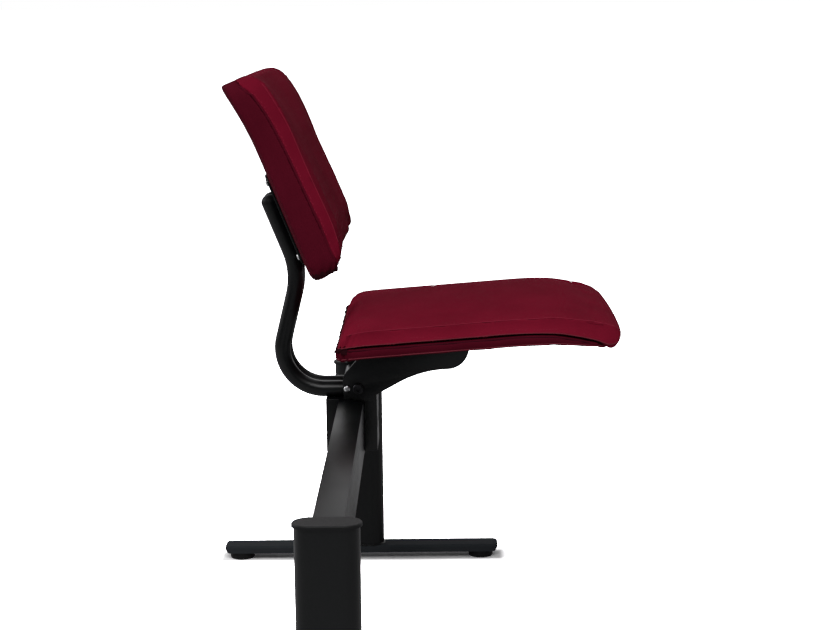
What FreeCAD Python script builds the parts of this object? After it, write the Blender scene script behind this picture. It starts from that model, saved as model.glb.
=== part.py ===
"""Beam seating: one upholstered tip-up seat on a short beam between two T-legs.

X runs along the beam, the seat faces -Y, Z is up and the floor is Z = 0.
Millimetres. The origin is on the floor, under the middle of the object.
"""
import FreeCAD
import Part
import Sketcher
import math
import os

V = FreeCAD.Vector
X_AXIS = V(1, 0, 0)
Y_AXIS = V(0, 1, 0)
Z_AXIS = V(0, 0, 1)
TOUCH = 0.01
CORNER_STEPS = 4
MIDDLE_SHARES = (0.15, 0.3, 0.45, 0.6, 0.75, 0.88)
SEAT_SHARES = (0.05, 0.2, 0.4, 0.6, 0.75, 0.85, 0.93)
NOSE_SHARES = (0.0, 0.2, 0.5)
NOSE_CORNER_SHARES = (0.0, 0.25, 0.6, 1.0)

doc = FreeCAD.newDocument("beam_seat")

# Driving dimensions

SIZES = [
    # legs and beam
    ("leg_x", 486.0),
    ("beam_y", 82.0),
    ("beam_width", 37.0),
    ("beam_height", 80.0),
    ("beam_top", 327.0),
    ("tube_wall", 2.5),
    ("column_width", 76.0),
    ("column_depth", 38.0),
    ("cap_rim", 2.5),
    ("cap_height", 4.7),
    ("cap_plug_height", 14.0),
    ("cap_play", 0.2),
    ("cap_round", 2.0),
    ("foot_length", 458.0),
    ("foot_width", 42.0),
    ("foot_height", 12.0),
    ("foot_slant", 7.0),
    ("foot_round", 4.0),
    ("foot_corner", 8.0),
    ("glide_radius", 20.0),
    ("glide_height", 11.0),
    ("glide_inset", 31.0),
    ("glide_round", 2.0),
    # saddle that carries the seat on the beam
    ("seat_x", 240.0),
    ("saddle_length", 83.0),
    ("saddle_width", 76.0),
    ("saddle_bottom", 248.0),
    ("carrier_length", 110.0),
    ("carrier_rear", 11.0),
    ("carrier_height", 35.0),
    ("carrier_round", 6.0),
    ("beam_gap", 0.1),
    ("clamp_bolt_radius", 5.0),
    ("clamp_bolt_play", 0.25),
    ("clamp_bolt_pitch", 44.0),
    ("clamp_bolt_z", 288.0),
    ("clamp_head_radius", 8.0),
    ("clamp_head_height", 7.6),
    ("clamp_pocket_radius", 9.2),
    ("clamp_pocket_depth", 8.0),
    ("nut_radius", 8.5),
    ("nut_height", 6.4),
    # pivot of the seat
    ("pivot_forward", 11.0),
    ("pivot_z", 347.0),
    ("pivot_radius", 5.0),
    ("pivot_play", 0.05),
    ("pivot_head_radius", 7.5),
    ("pivot_head_height", 5.0),
    ("stop_radius", 3.0),
    ("stop_offset", 16.0),
    ("stop_reach", 8.0),
    ("stop_head_radius", 4.8),
    ("stop_head_height", 2.8),
    ("stop_recess", 10.0),
    ("seat_travel", 50.0),
    ("washer_radius", 11.0),
    ("washer_thickness", 1.9),
    ("side_plate_gap", 2.0),
    ("side_plate_thickness", 5.0),
    ("side_plate_round", 27.0),
    ("plate_end_forward", 4.5),
    ("plate_end_rise", 9.0),
    ("plate_rear_turn", 38.0),
    ("plate_low_turn", 290.0),
    ("plate_front_turn", 239.0),
    ("plate_slope_forward", 64.0),
    ("plate_slope_rise", 10.5),
    ("plate_hollow_forward", 97.0),
    ("plate_hollow_rise", 23.0),
    ("plate_flat_forward", 134.0),
    ("plate_flat_rise", 28.0),
    ("plate_nose_forward", 154.0),
    ("plate_nose_rise", 36.5),
    ("plate_tip_rise", 55.0),
    ("mount_plate_thickness", 4.0),
    ("mount_plate_rear", 45.0),
    ("mount_plate_front", 188.0),
    ("mount_plate_clear", 0.3),
    ("seat_screw_radius", 2.5),
    ("seat_screw_head", 4.5),
    ("seat_screw_head_height", 2.6),
    ("seat_screw_length", 12.0),
    ("seat_screw_inset", 20.0),
    # seat pan and pad
    ("seat_half_width", 203.0),
    ("seat_depth", 403.0),
    ("seat_rear_y", 95.0),
    ("seat_rear_z", 416.2),
    ("seat_tilt", 4.1),
    ("seat_fall_start", 270.0),
    ("seat_fall", 20.0),
    ("seat_rear_corner", 9.0),
    ("seat_front_corner", 30.0),
    ("nose_bow", 6.0),
    ("nose_bow_inset", 100.0),
    ("nose_undercut", 18.0),
    ("nose_rise", 13.0),
    ("pan_thickness", 13.5),
    ("pan_front_thickness", 3.0),
    ("pan_taper_start", 290.0),
    ("pan_inset", 0.2),
    ("pan_draft", 2.5),
    ("pad_gap", 0.6),
    ("seat_side_height", 22.5),
    ("seat_side_draw", 12.0),
    ("seat_crown", 13.0),
    ("seat_edge_height", 3.0),
    ("seat_edge_crown", 1.0),
    ("seat_rear_shoulder", 23.0),
    ("seat_front_shoulder", 45.0),
    ("seat_rear_crown", 80.0),
    ("seat_front_crown", 105.0),
    # back tubes and back
    ("tube_radius", 12.0),
    ("back_tube_wall", 2.0),
    ("tube_spacing", 40.0),
    ("tube_gap", 0.3),
    ("tube_run", 40.0),
    ("tube_bend", 62.0),
    ("tube_forward_lean", 14.0),
    ("tube_straight", 67.7),
    ("waist_bend", 110.0),
    ("back_lean", 21.7),
    ("tube_upper", 75.6),
    ("plug_height", 12.0),
    ("plug_round", 11.0),
    ("plug_stem", 10.0),
    ("mount_width", 112.0),
    ("mount_height", 142.0),
    ("mount_thickness", 3.0),
    ("mount_rise", 81.6),
    ("mount_corner", 12.0),
    ("back_screw_radius", 3.0),
    ("back_screw_head", 5.5),
    ("back_screw_head_height", 3.3),
    ("back_screw_length", 16.0),
    ("back_gap", 0.8),
    ("back_half_width", 202.0),
    ("back_below", 84.0),
    ("back_above", 211.0),
    ("back_bulge", 19.9),
    ("back_inner_bulge", 13.0),
    ("back_hollow", 9.0),
    ("shell_depth_low", 39.5),
    ("shell_depth_high", 30.5),
    ("shell_depth_end", 18.0),
    ("seam_turn", 164.0),
    ("back_side_draw", 6.0),
    ("back_curl_start", 104.0),
    ("back_curl", 13.0),
    ("back_corner", 26.0),
    ("back_pad_below", 80.0),
    ("back_pad_above", 214.0),
    ("back_depth_low", 56.5),
    ("back_depth_high", 47.5),
    ("back_pad_draw", 12.0),
    ("back_low_round", 32.0),
    ("back_top_round", 20.0),
    ("back_least_pad", 3.0),
]

sheet = doc.addObject("Spreadsheet::Sheet", "sizes")
for row, (alias, value) in enumerate(SIZES, start=1):
    sheet.set("A%d" % row, alias)
    sheet.set("B%d" % row, "%g" % value)
    sheet.setAlias("B%d" % row, alias)
doc.recompute()


def size(alias):
    """Return a driving dimension as a number."""
    return float(sheet.get(alias))


def bind(thing, **links):
    """Bind properties of an object to expressions on the sheet."""
    for prop, expression in links.items():
        thing.setExpression(prop, expression)


# Small helpers

nodes = []


def keep(thing, label):
    """Name a finished sub-part and list it for writing."""
    thing.Label = label
    nodes.append(thing)
    return thing


def place(thing, x, y, z):
    """Bind an object's position to three sheet expressions."""
    thing.setExpression("Placement.Base.x", x)
    thing.setExpression("Placement.Base.y", y)
    thing.setExpression("Placement.Base.z", z)


def new_body(name):
    return doc.addObject("PartDesign::Body", name)


def new_sketch(body, role, name):
    """Make a sketch on one of the body's own origin planes."""
    sketch = body.newObject("Sketcher::SketchObject", name)
    plane = [item for item in body.Origin.OriginFeatures if item.Role == role][0]
    sketch.AttachmentSupport = [(plane, "")]
    sketch.MapMode = "FlatFace"
    return sketch


def pad(body, sketch, name, length):
    """Pad a sketch by a sheet expression."""
    feature = body.newObject("PartDesign::Pad", name)
    feature.Profile = sketch
    feature.setExpression("Length", length)
    return feature


def fillet(body, base, name, radius, wanted):
    """Round the edges of a body's feature that the test picks."""
    doc.recompute()
    edges = ["Edge%d" % (i + 1) for i, edge in enumerate(base.Shape.Edges) if wanted(edge)]
    feature = body.newObject("PartDesign::Fillet", name)
    feature.Base = (base, edges)
    feature.setExpression("Radius", radius)
    return feature


def rectangle(sketch, width, height):
    """Draw a rectangle about the sketch origin, its sides bound to the sheet."""
    first = sketch.GeometryCount
    corners = [V(-1, -1, 0), V(1, -1, 0), V(1, 1, 0), V(-1, 1, 0)]
    for i in range(4):
        sketch.addGeometry(Part.LineSegment(corners[i], corners[(i + 1) % 4]), False)
    for i in range(4):
        following = first + (i + 1) % 4
        sketch.addConstraint(Sketcher.Constraint("Coincident", first + i, 2, following, 1))
        kind = "Vertical" if i % 2 else "Horizontal"
        sketch.addConstraint(Sketcher.Constraint(kind, first + i))
    sketch.addConstraint(Sketcher.Constraint("Symmetric", first, 1, first + 2, 1, -1, 1))
    across = sketch.addConstraint(Sketcher.Constraint("DistanceX", first, 1, first, 2, 2.0))
    up = sketch.addConstraint(Sketcher.Constraint("DistanceY", first + 1, 1, first + 1, 2, 2.0))
    sketch.setExpression("Constraints[%d]" % across, width)
    sketch.setExpression("Constraints[%d]" % up, height)


def flat_oval(sketch, width, depth):
    """Draw a flat oval about the sketch origin, wide along the sketch's Y."""
    first = sketch.GeometryCount
    top = Part.Circle(V(0, 1, 0), Z_AXIS, 1.0)
    bottom = Part.Circle(V(0, -1, 0), Z_AXIS, 1.0)
    sketch.addGeometry(Part.ArcOfCircle(top, 0.0, math.pi), False)
    sketch.addGeometry(Part.LineSegment(V(-1, 1, 0), V(-1, -1, 0)), False)
    sketch.addGeometry(Part.ArcOfCircle(bottom, math.pi, 2 * math.pi), False)
    sketch.addGeometry(Part.LineSegment(V(1, -1, 0), V(1, 1, 0)), False)
    for i in range(4):
        following = first + (i + 1) % 4
        sketch.addConstraint(Sketcher.Constraint("Tangent", first + i, 2, following, 1))
    sketch.addConstraint(Sketcher.Constraint("Equal", first, first + 2))
    sketch.addConstraint(Sketcher.Constraint("Vertical", first + 1))
    sketch.addConstraint(Sketcher.Constraint("Symmetric", first, 3, first + 2, 3, -1, 1))
    radius = sketch.addConstraint(Sketcher.Constraint("Radius", first, 1.0))
    apart = sketch.addConstraint(Sketcher.Constraint("DistanceY", first + 2, 3, first, 3, 2.0))
    sketch.setExpression("Constraints[%d]" % radius, "(%s) / 2" % depth)
    sketch.setExpression("Constraints[%d]" % apart, "(%s) - (%s)" % (width, depth))


def drill(sketch, x, y, radius, expression):
    """Draw a circle in a sketch, its radius bound to the sheet."""
    index = sketch.addGeometry(Part.Circle(V(x, y, 0), Z_AXIS, radius), False)
    held = sketch.addConstraint(Sketcher.Constraint("Radius", index, radius))
    sketch.setExpression("Constraints[%d]" % held, expression)


def cylinder(name, radius, height, base, direction):
    """Make a cylinder whose sizes are sheet expressions, from a base point along a direction."""
    solid = doc.addObject("Part::Cylinder", name)
    bind(solid, Radius=radius, Height=height)
    solid.Placement = FreeCAD.Placement(base, FreeCAD.Rotation(Z_AXIS, direction))
    return solid


def box(name, length, width, height, corner):
    """Make a box whose sizes are sheet expressions, from its lowest corner."""
    solid = doc.addObject("Part::Box", name)
    bind(solid, Length=length, Width=width, Height=height)
    solid.Placement.Base = corner
    return solid


def fuse(name, solids):
    joined = doc.addObject("Part::MultiFuse", name)
    joined.Shapes = solids
    return joined


def cut(name, base, tools):
    """Cut several tools from a base."""
    result = doc.addObject("Part::Cut", name)
    result.Base = base
    result.Tool = fuse(name + "_tools", tools) if len(tools) > 1 else tools[0]
    return result


def group(name, solids):
    """Hold identical pieces together as one node of separate solids."""
    held = doc.addObject("Part::Compound", name)
    held.Links = solids
    return keep(held, name)


def headed(name, shank, length, head, head_height, seat, direction):
    """Make a screw: its head sits on the seat point and its shank runs along the direction."""
    back = seat - direction * size(head_height)
    shank_solid = cylinder(name + "_shank", "sizes." + shank, length, seat, direction)
    head_solid = cylinder(name + "_head", "sizes." + head, "sizes." + head_height, back, direction)
    return fuse(name, [shank_solid, head_solid])


SIDES = [("near", -1), ("far", 1)]
CORNERS = ((-1, -1), (1, -1), (1, 1), (-1, 1))

# Legs: column, cap, foot and glides at each end of the beam


def leg_column(side, sign):
    body = new_body("leg_column_" + side)
    outer = new_sketch(body, "XY_Plane", "outline_" + side)
    flat_oval(outer, "sizes.column_width", "sizes.column_depth")
    inside = "%s - 2 * sizes.tube_wall"
    flat_oval(outer, inside % "sizes.column_width", inside % "sizes.column_depth")
    pad(body, outer, "tube_" + side, "sizes.beam_top - sizes.glide_height - sizes.foot_height")
    place(body, "%d * sizes.leg_x" % sign, "sizes.beam_y", "sizes.glide_height + sizes.foot_height")
    return keep(body, "leg_column_" + side)


def column_cap(side, sign):
    body = new_body("column_cap_" + side)
    rim = new_sketch(body, "XY_Plane", "rim_" + side)
    flat_oval(rim, "sizes.column_width + 2 * sizes.cap_rim", "sizes.column_depth + 2 * sizes.cap_rim")
    pad(body, rim, "lid_" + side, "sizes.cap_height")
    plug = new_sketch(body, "XY_Plane", "plug_" + side)
    smaller = "%s - 2 * sizes.tube_wall - 2 * sizes.cap_play"
    flat_oval(plug, smaller % "sizes.column_width", smaller % "sizes.column_depth")
    stem = pad(body, plug, "stem_" + side, "sizes.cap_plug_height")
    stem.Reversed = True
    top = size("cap_height")
    fillet(body, stem, "soft_edge_" + side, "sizes.cap_round", lambda edge: edge.BoundBox.ZMin > top - TOUCH)
    place(body, "%d * sizes.leg_x" % sign, "sizes.beam_y", "sizes.beam_top")
    return keep(body, "column_cap_" + side)


def foot_bar(side, sign):
    body = new_body("foot_bar_" + side)
    profile = new_sketch(body, "YZ_Plane", "side_view_" + side)
    half = size("foot_length") / 2
    low = half - size("foot_slant")
    height = size("foot_height")
    corners = [V(-low, 0, 0), V(low, 0, 0), V(half, height, 0), V(-half, height, 0)]
    for i in range(4):
        profile.addGeometry(Part.LineSegment(corners[i], corners[(i + 1) % 4]), False)
    bar = pad(body, profile, "bar_" + side, "sizes.foot_width")

    def upright(edge):
        return edge.BoundBox.XLength < TOUCH and edge.BoundBox.ZLength > height - TOUCH

    def along_top(edge):
        return edge.BoundBox.ZMin > height - TOUCH

    rounded = fillet(body, bar, "corners_" + side, "sizes.foot_corner", upright)
    fillet(body, rounded, "top_edges_" + side, "sizes.foot_round", along_top)
    place(body, "%d * sizes.leg_x - sizes.foot_width / 2" % sign, "sizes.beam_y", "sizes.glide_height")
    return keep(body, "foot_bar_" + side)


def foot_glides(side, sign):
    glides = []
    reach = size("foot_length") / 2 - size("glide_inset")
    for end, name in ((-1, "front"), (1, "rear")):
        base = V(sign * size("leg_x"), size("beam_y") + end * reach, 0)
        label = "glide_%s_%s" % (side, name)
        disc = cylinder(label + "_disc", "sizes.glide_radius", "sizes.glide_height", base, Z_AXIS)
        doc.recompute()
        rim = [i + 1 for i, edge in enumerate(disc.Shape.Edges) if edge.BoundBox.ZMax < TOUCH]
        soft = doc.addObject("Part::Fillet", label)
        soft.Base = disc
        soft.Edges = [(i, size("glide_round"), size("glide_round")) for i in rim]
        glides.append(soft)
    return group("foot_glides_" + side, glides)


# Beam, saddle and clamp


def clamp_axes():
    """Give the two points on the beam's centre plane that the clamp bolts pass through."""
    half = size("clamp_bolt_pitch") / 2
    return [V(size("seat_x") + end * half, size("beam_y"), size("clamp_bolt_z")) for end in (-1, 1)]


def clamp_holes(name, length):
    """Make the two tools that drill the clamp bolt holes, as long as the saddle is wide."""
    tools = []
    reach = Y_AXIS * size("saddle_width")
    for i, point in enumerate(clamp_axes()):
        hole = "sizes.clamp_bolt_radius + sizes.clamp_bolt_play"
        tools.append(cylinder("%s_hole_%d" % (name, i), hole, length, point - reach, Y_AXIS))
    return tools


def clamp_pockets(name, end):
    """Make the two tools that sink the clamp bolts' heads or nuts, at the front or rear end."""
    depth = size("clamp_pocket_depth")
    face = size("saddle_width") / 2
    tools = []
    for i, point in enumerate(clamp_axes()):
        base = point + Y_AXIS * (face - depth if end > 0 else -face)
        tools.append(cylinder("%s_pocket_%d" % (name, i), "sizes.clamp_pocket_radius",
                              "sizes.clamp_pocket_depth", base, Y_AXIS))
    return tools


def beam_tube():
    body = new_body("beam_blank")
    section = new_sketch(body, "YZ_Plane", "beam_section")
    rectangle(section, "sizes.beam_width", "sizes.beam_height")
    inside = "%s - 2 * sizes.tube_wall"
    rectangle(section, inside % "sizes.beam_width", inside % "sizes.beam_height")
    pad(body, section, "beam_length", "2 * sizes.leg_x - sizes.column_depth")
    place(body, "sizes.column_depth / 2 - sizes.leg_x", "sizes.beam_y",
          "sizes.beam_top - sizes.beam_height / 2")
    return keep(cut("beam_drilled", body, clamp_holes("beam", "2 * sizes.saddle_width")), "beam_tube")


def saddle():
    seat_x = size("seat_x")
    beam_y = size("beam_y")
    front = beam_y - size("saddle_width") / 2
    flank_length = size("saddle_length")
    cheek = box("saddle_flank", "sizes.saddle_length",
                "(sizes.saddle_width - sizes.beam_width) / 2 - sizes.beam_gap",
                "sizes.beam_top + sizes.beam_gap - sizes.saddle_bottom",
                V(seat_x - flank_length / 2, front, size("saddle_bottom")))
    carrier_bottom = size("beam_top") + size("beam_gap")
    carrier_length = size("carrier_length")
    carrier = box("saddle_carrier", "sizes.carrier_length",
                  "sizes.saddle_width / 2 + sizes.carrier_rear", "sizes.carrier_height",
                  V(seat_x - carrier_length / 2, front, carrier_bottom))
    doc.recompute()
    top = carrier_bottom + size("carrier_height")
    soft = doc.addObject("Part::Fillet", "saddle_carrier_soft")
    soft.Base = carrier
    radius = size("carrier_round")
    soft.Edges = [(i + 1, radius, radius) for i, edge in enumerate(carrier.Shape.Edges)
                  if edge.BoundBox.ZMin > top - TOUCH and edge.BoundBox.XLength > TOUCH]
    blank = fuse("saddle_blank", [cheek, soft])

    tools = clamp_holes("saddle", "2 * sizes.saddle_width") + clamp_pockets("saddle", -1)
    pivot = V(seat_x - carrier_length, beam_y - size("pivot_forward"), size("pivot_z"))
    tools.append(cylinder("saddle_bore", "sizes.pivot_radius + sizes.pivot_play",
                          "2 * sizes.carrier_length", pivot, X_AXIS))
    tube_z = size("beam_top") + size("tube_gap") + size("tube_radius")
    for side, sign in SIDES:
        socket = V(seat_x + sign * size("tube_spacing") / 2, beam_y, tube_z)
        tools.append(cylinder("saddle_socket_" + side, "sizes.tube_radius + sizes.pivot_play",
                              "2 * sizes.carrier_rear", socket, Y_AXIS))
    # a step at each end leaves the ledge that the stop screw bears up against
    depth = size("stop_recess")
    swing = size("stop_offset") * math.cos(math.radians(size("seat_travel")))
    wall = pivot.y + swing - size("stop_radius") - size("pivot_play")
    for side, sign in SIDES:
        end = seat_x + sign * carrier_length / 2
        tools.append(box("saddle_step_" + side, "2 * sizes.stop_recess", "2 * sizes.carrier_rear",
                         "sizes.pivot_z + sizes.stop_radius + sizes.pivot_play - sizes.beam_top",
                         V(end - depth, wall, size("beam_top"))))
    return keep(cut("saddle_cut", blank, tools), "seat_saddle")


def saddle_clamp():
    rear = size("beam_y") + size("beam_width") / 2 + size("beam_gap")
    corner = V(size("seat_x") - size("saddle_length") / 2, rear, size("saddle_bottom"))
    blank = box("clamp_blank", "sizes.saddle_length",
                "(sizes.saddle_width - sizes.beam_width) / 2 - sizes.beam_gap",
                "sizes.beam_top - sizes.saddle_bottom", corner)
    tools = clamp_holes("clamp", "2 * sizes.saddle_width") + clamp_pockets("clamp", 1)
    return keep(cut("clamp_cut", blank, tools), "saddle_clamp")


def hexagon(name, radius, height, base, direction):
    """Make a hexagonal prism, the outside of a nut."""
    solid = doc.addObject("Part::Prism", name)
    solid.Polygon = 6
    bind(solid, Circumradius=radius, Height=height)
    solid.Placement = FreeCAD.Placement(base, FreeCAD.Rotation(Z_AXIS, direction))
    return solid


def clamp_fasteners():
    bolts = []
    nuts = []
    reach = Y_AXIS * (size("saddle_width") / 2 - size("clamp_pocket_depth"))
    length = "sizes.saddle_width - 2 * sizes.clamp_pocket_depth + sizes.nut_height"
    for i, point in enumerate(clamp_axes()):
        bolts.append(headed("clamp_bolt_%d" % i, "clamp_bolt_radius", length,
                            "clamp_head_radius", "clamp_head_height", point - reach, Y_AXIS))
        body = hexagon("clamp_nut_body_%d" % i, "sizes.nut_radius", "sizes.nut_height",
                       point + reach, Y_AXIS)
        bore = cylinder("clamp_nut_bore_%d" % i, "sizes.clamp_bolt_radius + sizes.pivot_play",
                        "sizes.nut_height", point + reach, Y_AXIS)
        nuts.append(cut("clamp_nut_%d" % i, body, [bore]))
    group("clamp_bolts", bolts)
    group("clamp_nuts", nuts)


# Back tubes: one bent path for both, in the plane across the beam


def tube_path():
    """Give the points of the tube's centre line from its socket, by name, and its end direction.

    Sketch X is the object's +Y and sketch Y is +Z, both from the tube's front end.
    """
    run = size("tube_run")
    bend = size("tube_bend")
    forward = math.radians(size("tube_forward_lean"))
    back = math.radians(size("back_lean"))
    waist = size("waist_bend")
    socket_end = V(run, 0, 0)
    centre = V(run, bend, 0)
    turn = (math.pi / 2 + forward) / 2 - math.pi / 2
    bend_middle = centre + V(math.cos(turn), math.sin(turn), 0) * bend
    bend_end = centre + V(math.cos(forward), math.sin(forward), 0) * bend
    waist_start = bend_end + V(-math.sin(forward), math.cos(forward), 0) * size("tube_straight")
    waist_centre = waist_start + V(math.cos(forward), math.sin(forward), 0) * waist
    half = math.pi + (forward - back) / 2
    waist_middle = waist_centre + V(math.cos(half), math.sin(half), 0) * waist
    waist_end = waist_centre + V(math.cos(math.pi - back), math.sin(math.pi - back), 0) * waist
    along = V(math.sin(back), math.cos(back), 0)
    return {
        "start": V(0, 0, 0),
        "socket_end": socket_end,
        "bend_middle": bend_middle,
        "bend_end": bend_end,
        "waist_start": waist_start,
        "waist_middle": waist_middle,
        "waist_end": waist_end,
        "top": waist_end + along * size("tube_upper"),
        "along": along,
    }


def tube_front():
    """Give the place of a tube's front end in the object, for a tube on the beam's centre plane."""
    z = size("beam_top") + size("tube_gap") + size("tube_radius")
    return V(size("seat_x"), size("beam_y"), z)


def in_object(point):
    """Move a point of the tube's sketch into the object."""
    return tube_front() + V(0, point.x, point.y)


def back_tube(side, sign):
    body = new_body("back_tube_" + side)
    path = new_sketch(body, "YZ_Plane", "tube_path_" + side)
    line = tube_path()
    path.addGeometry(Part.LineSegment(line["start"], line["socket_end"]), False)
    path.addGeometry(Part.Arc(line["socket_end"], line["bend_middle"], line["bend_end"]), False)
    path.addGeometry(Part.LineSegment(line["bend_end"], line["waist_start"]), False)
    path.addGeometry(Part.Arc(line["waist_start"], line["waist_middle"], line["waist_end"]), False)
    path.addGeometry(Part.LineSegment(line["waist_end"], line["top"]), False)
    ring = new_sketch(body, "XZ_Plane", "tube_ring_" + side)
    for radius in ("sizes.tube_radius", "sizes.tube_radius - sizes.back_tube_wall"):
        drill(ring, 0, 0, size("tube_radius"), radius)
    pipe = body.newObject("PartDesign::AdditivePipe", "tube_" + side)
    pipe.Profile = ring
    pipe.Spine = path
    place(body, "sizes.seat_x + %d * sizes.tube_spacing / 2" % sign, "sizes.beam_y",
          "sizes.beam_top + sizes.tube_gap + sizes.tube_radius")
    return keep(body, "back_tube_" + side)


def tube_plugs():
    plugs = []
    line = tube_path()
    along = V(0, line["along"].x, line["along"].y)
    for side, sign in SIDES:
        base = in_object(line["top"]) + X_AXIS * (sign * size("tube_spacing") / 2)
        lid = cylinder("plug_lid_" + side, "sizes.tube_radius", "sizes.plug_height", base, along)
        doc.recompute()
        top = (base + along * size("plug_height")).z
        rim = [i + 1 for i, edge in enumerate(lid.Shape.Edges) if abs(edge.CenterOfMass.z - top) < TOUCH]
        dome = doc.addObject("Part::Fillet", "plug_dome_" + side)
        dome.Base = lid
        dome.Edges = [(i, size("plug_round"), size("plug_round")) for i in rim]
        stem = cylinder("plug_stem_" + side, "sizes.tube_radius - sizes.back_tube_wall - sizes.cap_play",
                        "sizes.plug_stem", base - along * size("plug_stem"), along)
        plugs.append(fuse("plug_" + side, [dome, stem]))
    return group("tube_plugs", plugs)


# Back plate, shell and pad


def back_directions():
    """Give the directions up along the back and square out of its rear."""
    lean = math.radians(size("back_lean"))
    up = V(0, math.sin(lean), math.cos(lean))
    out = V(0, math.cos(lean), -math.sin(lean))
    return up, out


def plate_centre():
    """Give the middle of the mount plate's rear face, against the front of the tubes."""
    waist_half = math.radians(size("back_lean") + size("tube_forward_lean")) / 2
    tangent = size("waist_bend") * math.tan(waist_half)
    up, out = back_directions()
    waist_end = in_object(tube_path()["waist_end"])
    return waist_end + up * (size("mount_rise") - tangent) - out * size("tube_radius")


def back_screw_spread():
    """Give how far the back screws stand from the mount plate's middle, across and up."""
    corner = size("mount_corner")
    return size("mount_width") / 2 - corner, size("mount_height") / 2 - corner


def back_mount_plate():
    body = new_body("back_mount_plate")
    outline = new_sketch(body, "XZ_Plane", "mount_outline")
    rectangle(outline, "sizes.mount_width", "sizes.mount_height")
    across, high = back_screw_spread()
    for i, j in CORNERS:
        drill(outline, i * across, j * high, size("back_screw_radius"),
              "sizes.back_screw_radius + sizes.clamp_bolt_play")
    sheet_metal = pad(body, outline, "mount_sheet", "sizes.mount_thickness")
    fillet(body, sheet_metal, "mount_corners", "sizes.mount_corner",
           lambda edge: isinstance(edge.Curve, Part.Line) and edge.BoundBox.YLength > TOUCH)
    body.Placement = FreeCAD.Placement(plate_centre(), FreeCAD.Rotation(X_AXIS, -size("back_lean")))
    return keep(body, "back_mount_plate")


def back_screws():
    up, out = back_directions()
    screws = []
    across, high = back_screw_spread()
    for number, (i, j) in enumerate(CORNERS):
        seat = plate_centre() + X_AXIS * (i * across) + up * (j * high)
        screws.append(headed("back_screw_%d" % number, "back_screw_radius", "sizes.back_screw_length",
                             "back_screw_head", "back_screw_head_height", seat, out * -1))
    return group("back_screws", screws)


def back_point(across, out_by, up_by):
    """Give a point from where the shell meets the mount plate: across, out of its rear and up along it."""
    up, out = back_directions()
    face = plate_centre() - out * (size("mount_thickness") + size("back_gap"))
    return V(across, face.y, face.z) + out * out_by + up * up_by


def rear_line(rise):
    """Give how far out the shell's rear edge lies at its sides, at a rise above the plate's middle."""
    past = max(0.0, rise - size("back_curl_start"))
    span = size("back_above") - size("back_curl_start")
    return size("back_curl") * (past / span) ** 2 - size("back_bulge")


def shell_depth(rise):
    """Give the depth from the rear edge to the seam, which turns to the rear near the top."""
    low = size("shell_depth_low")
    high = size("shell_depth_high")
    part = (rise + size("back_below")) / (size("seam_turn") + size("back_below"))
    past = max(0.0, rise - size("seam_turn")) / (size("back_above") - size("seam_turn"))
    return low - (low - high) * min(1.0, part) - (high - size("shell_depth_end")) * min(1.0, past) ** 2


def back_depth(rise):
    """Give the depth from the rear edge to the front crease."""
    part = (rise + size("back_below")) / (size("back_above") + size("back_below"))
    return size("back_depth_low") - (size("back_depth_low") - size("back_depth_high")) * part


def quarter_steps(radius):
    """Give distances from an end and insets of a corner of that radius, from the end inwards."""
    steps = []
    for i in range(CORNER_STEPS + 1):
        angle = math.pi / 2 * i / CORNER_STEPS
        steps.append((radius * (1 - math.cos(angle)), radius * (1 - math.sin(angle))))
    return steps


def back_stations(below, above):
    """Give rises with the inset of the rounded corners there, from the lower end to the upper one.

    The ones between the corners are the same for the shell and the pad, so that the two meet along the seam.
    """
    corner = size("back_corner")
    low = [(rise - below, inset) for rise, inset in quarter_steps(corner)]
    high = [(above - drop, inset) for drop, inset in quarter_steps(corner)]
    first = corner - size("back_below")
    last = size("back_above") - corner
    middle = [(first + (last - first) * part, 0.0) for part in MIDDLE_SHARES]
    if high[-1][0] > last + TOUCH:
        middle.append((last, 0.0))
    return low + middle + high[::-1]


def rounded_off(distance, radius):
    """Give how much a round edge of that radius takes off at a distance from the end."""
    return radius - math.sqrt(radius ** 2 - max(0.0, radius - distance) ** 2)


def closed_loft(wires):
    """Loft a solid through closed wires, straight from each to the next."""
    return Part.makeLoft(wires, True, True)


def back_section(half, rise, near_out, near_bulge, far_half, far_out, far_bulge):
    """Give a closed section of the back: two arcs across, joined at the sides."""
    a = back_point(-half, near_out, rise)
    b = back_point(half, near_out, rise)
    c = back_point(far_half, far_out, rise)
    d = back_point(-far_half, far_out, rise)
    inner = Part.Arc(a, back_point(0, near_out + near_bulge, rise), b)
    outer = Part.Arc(c, back_point(0, far_out + far_bulge, rise), d)
    return Part.Wire([inner.toShape(), Part.makeLine(b, c), outer.toShape(), Part.makeLine(d, a)])


def back_shell():
    wires = []
    half = size("back_half_width")
    for rise, inset in back_stations(size("back_below"), size("back_above")):
        w = half - inset
        rear = rear_line(rise)
        wires.append(back_section(w, rise, rear - shell_depth(rise), size("back_inner_bulge"),
                                  w - size("back_side_draw"), rear, size("back_bulge")))
    shell = doc.addObject("Part::Feature", "back_shell")
    shell.Shape = closed_loft(wires)
    shell.setExpression("Placement.Base.x", "sizes.seat_x")
    return keep(shell, "back_shell")


def back_pad():
    wires = []
    half = size("back_half_width")
    below = size("back_pad_below")
    above = size("back_pad_above")
    for rise, inset in back_stations(below, above):
        w = half - inset
        seam = rear_line(rise) - shell_depth(rise) - size("pad_gap")
        thickness = back_depth(rise) - shell_depth(rise)
        thickness -= rounded_off(rise + below, size("back_low_round"))
        thickness -= rounded_off(above - rise, size("back_top_round"))
        front = seam - max(thickness, size("back_least_pad"))
        wires.append(back_section(w, rise, seam, size("back_inner_bulge"),
                                  w - size("back_pad_draw"), front, size("back_hollow")))
    cushion = doc.addObject("Part::Feature", "back_pad")
    cushion.Shape = closed_loft(wires)
    cushion.setExpression("Placement.Base.x", "sizes.seat_x")
    return keep(cushion, "back_pad")


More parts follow.
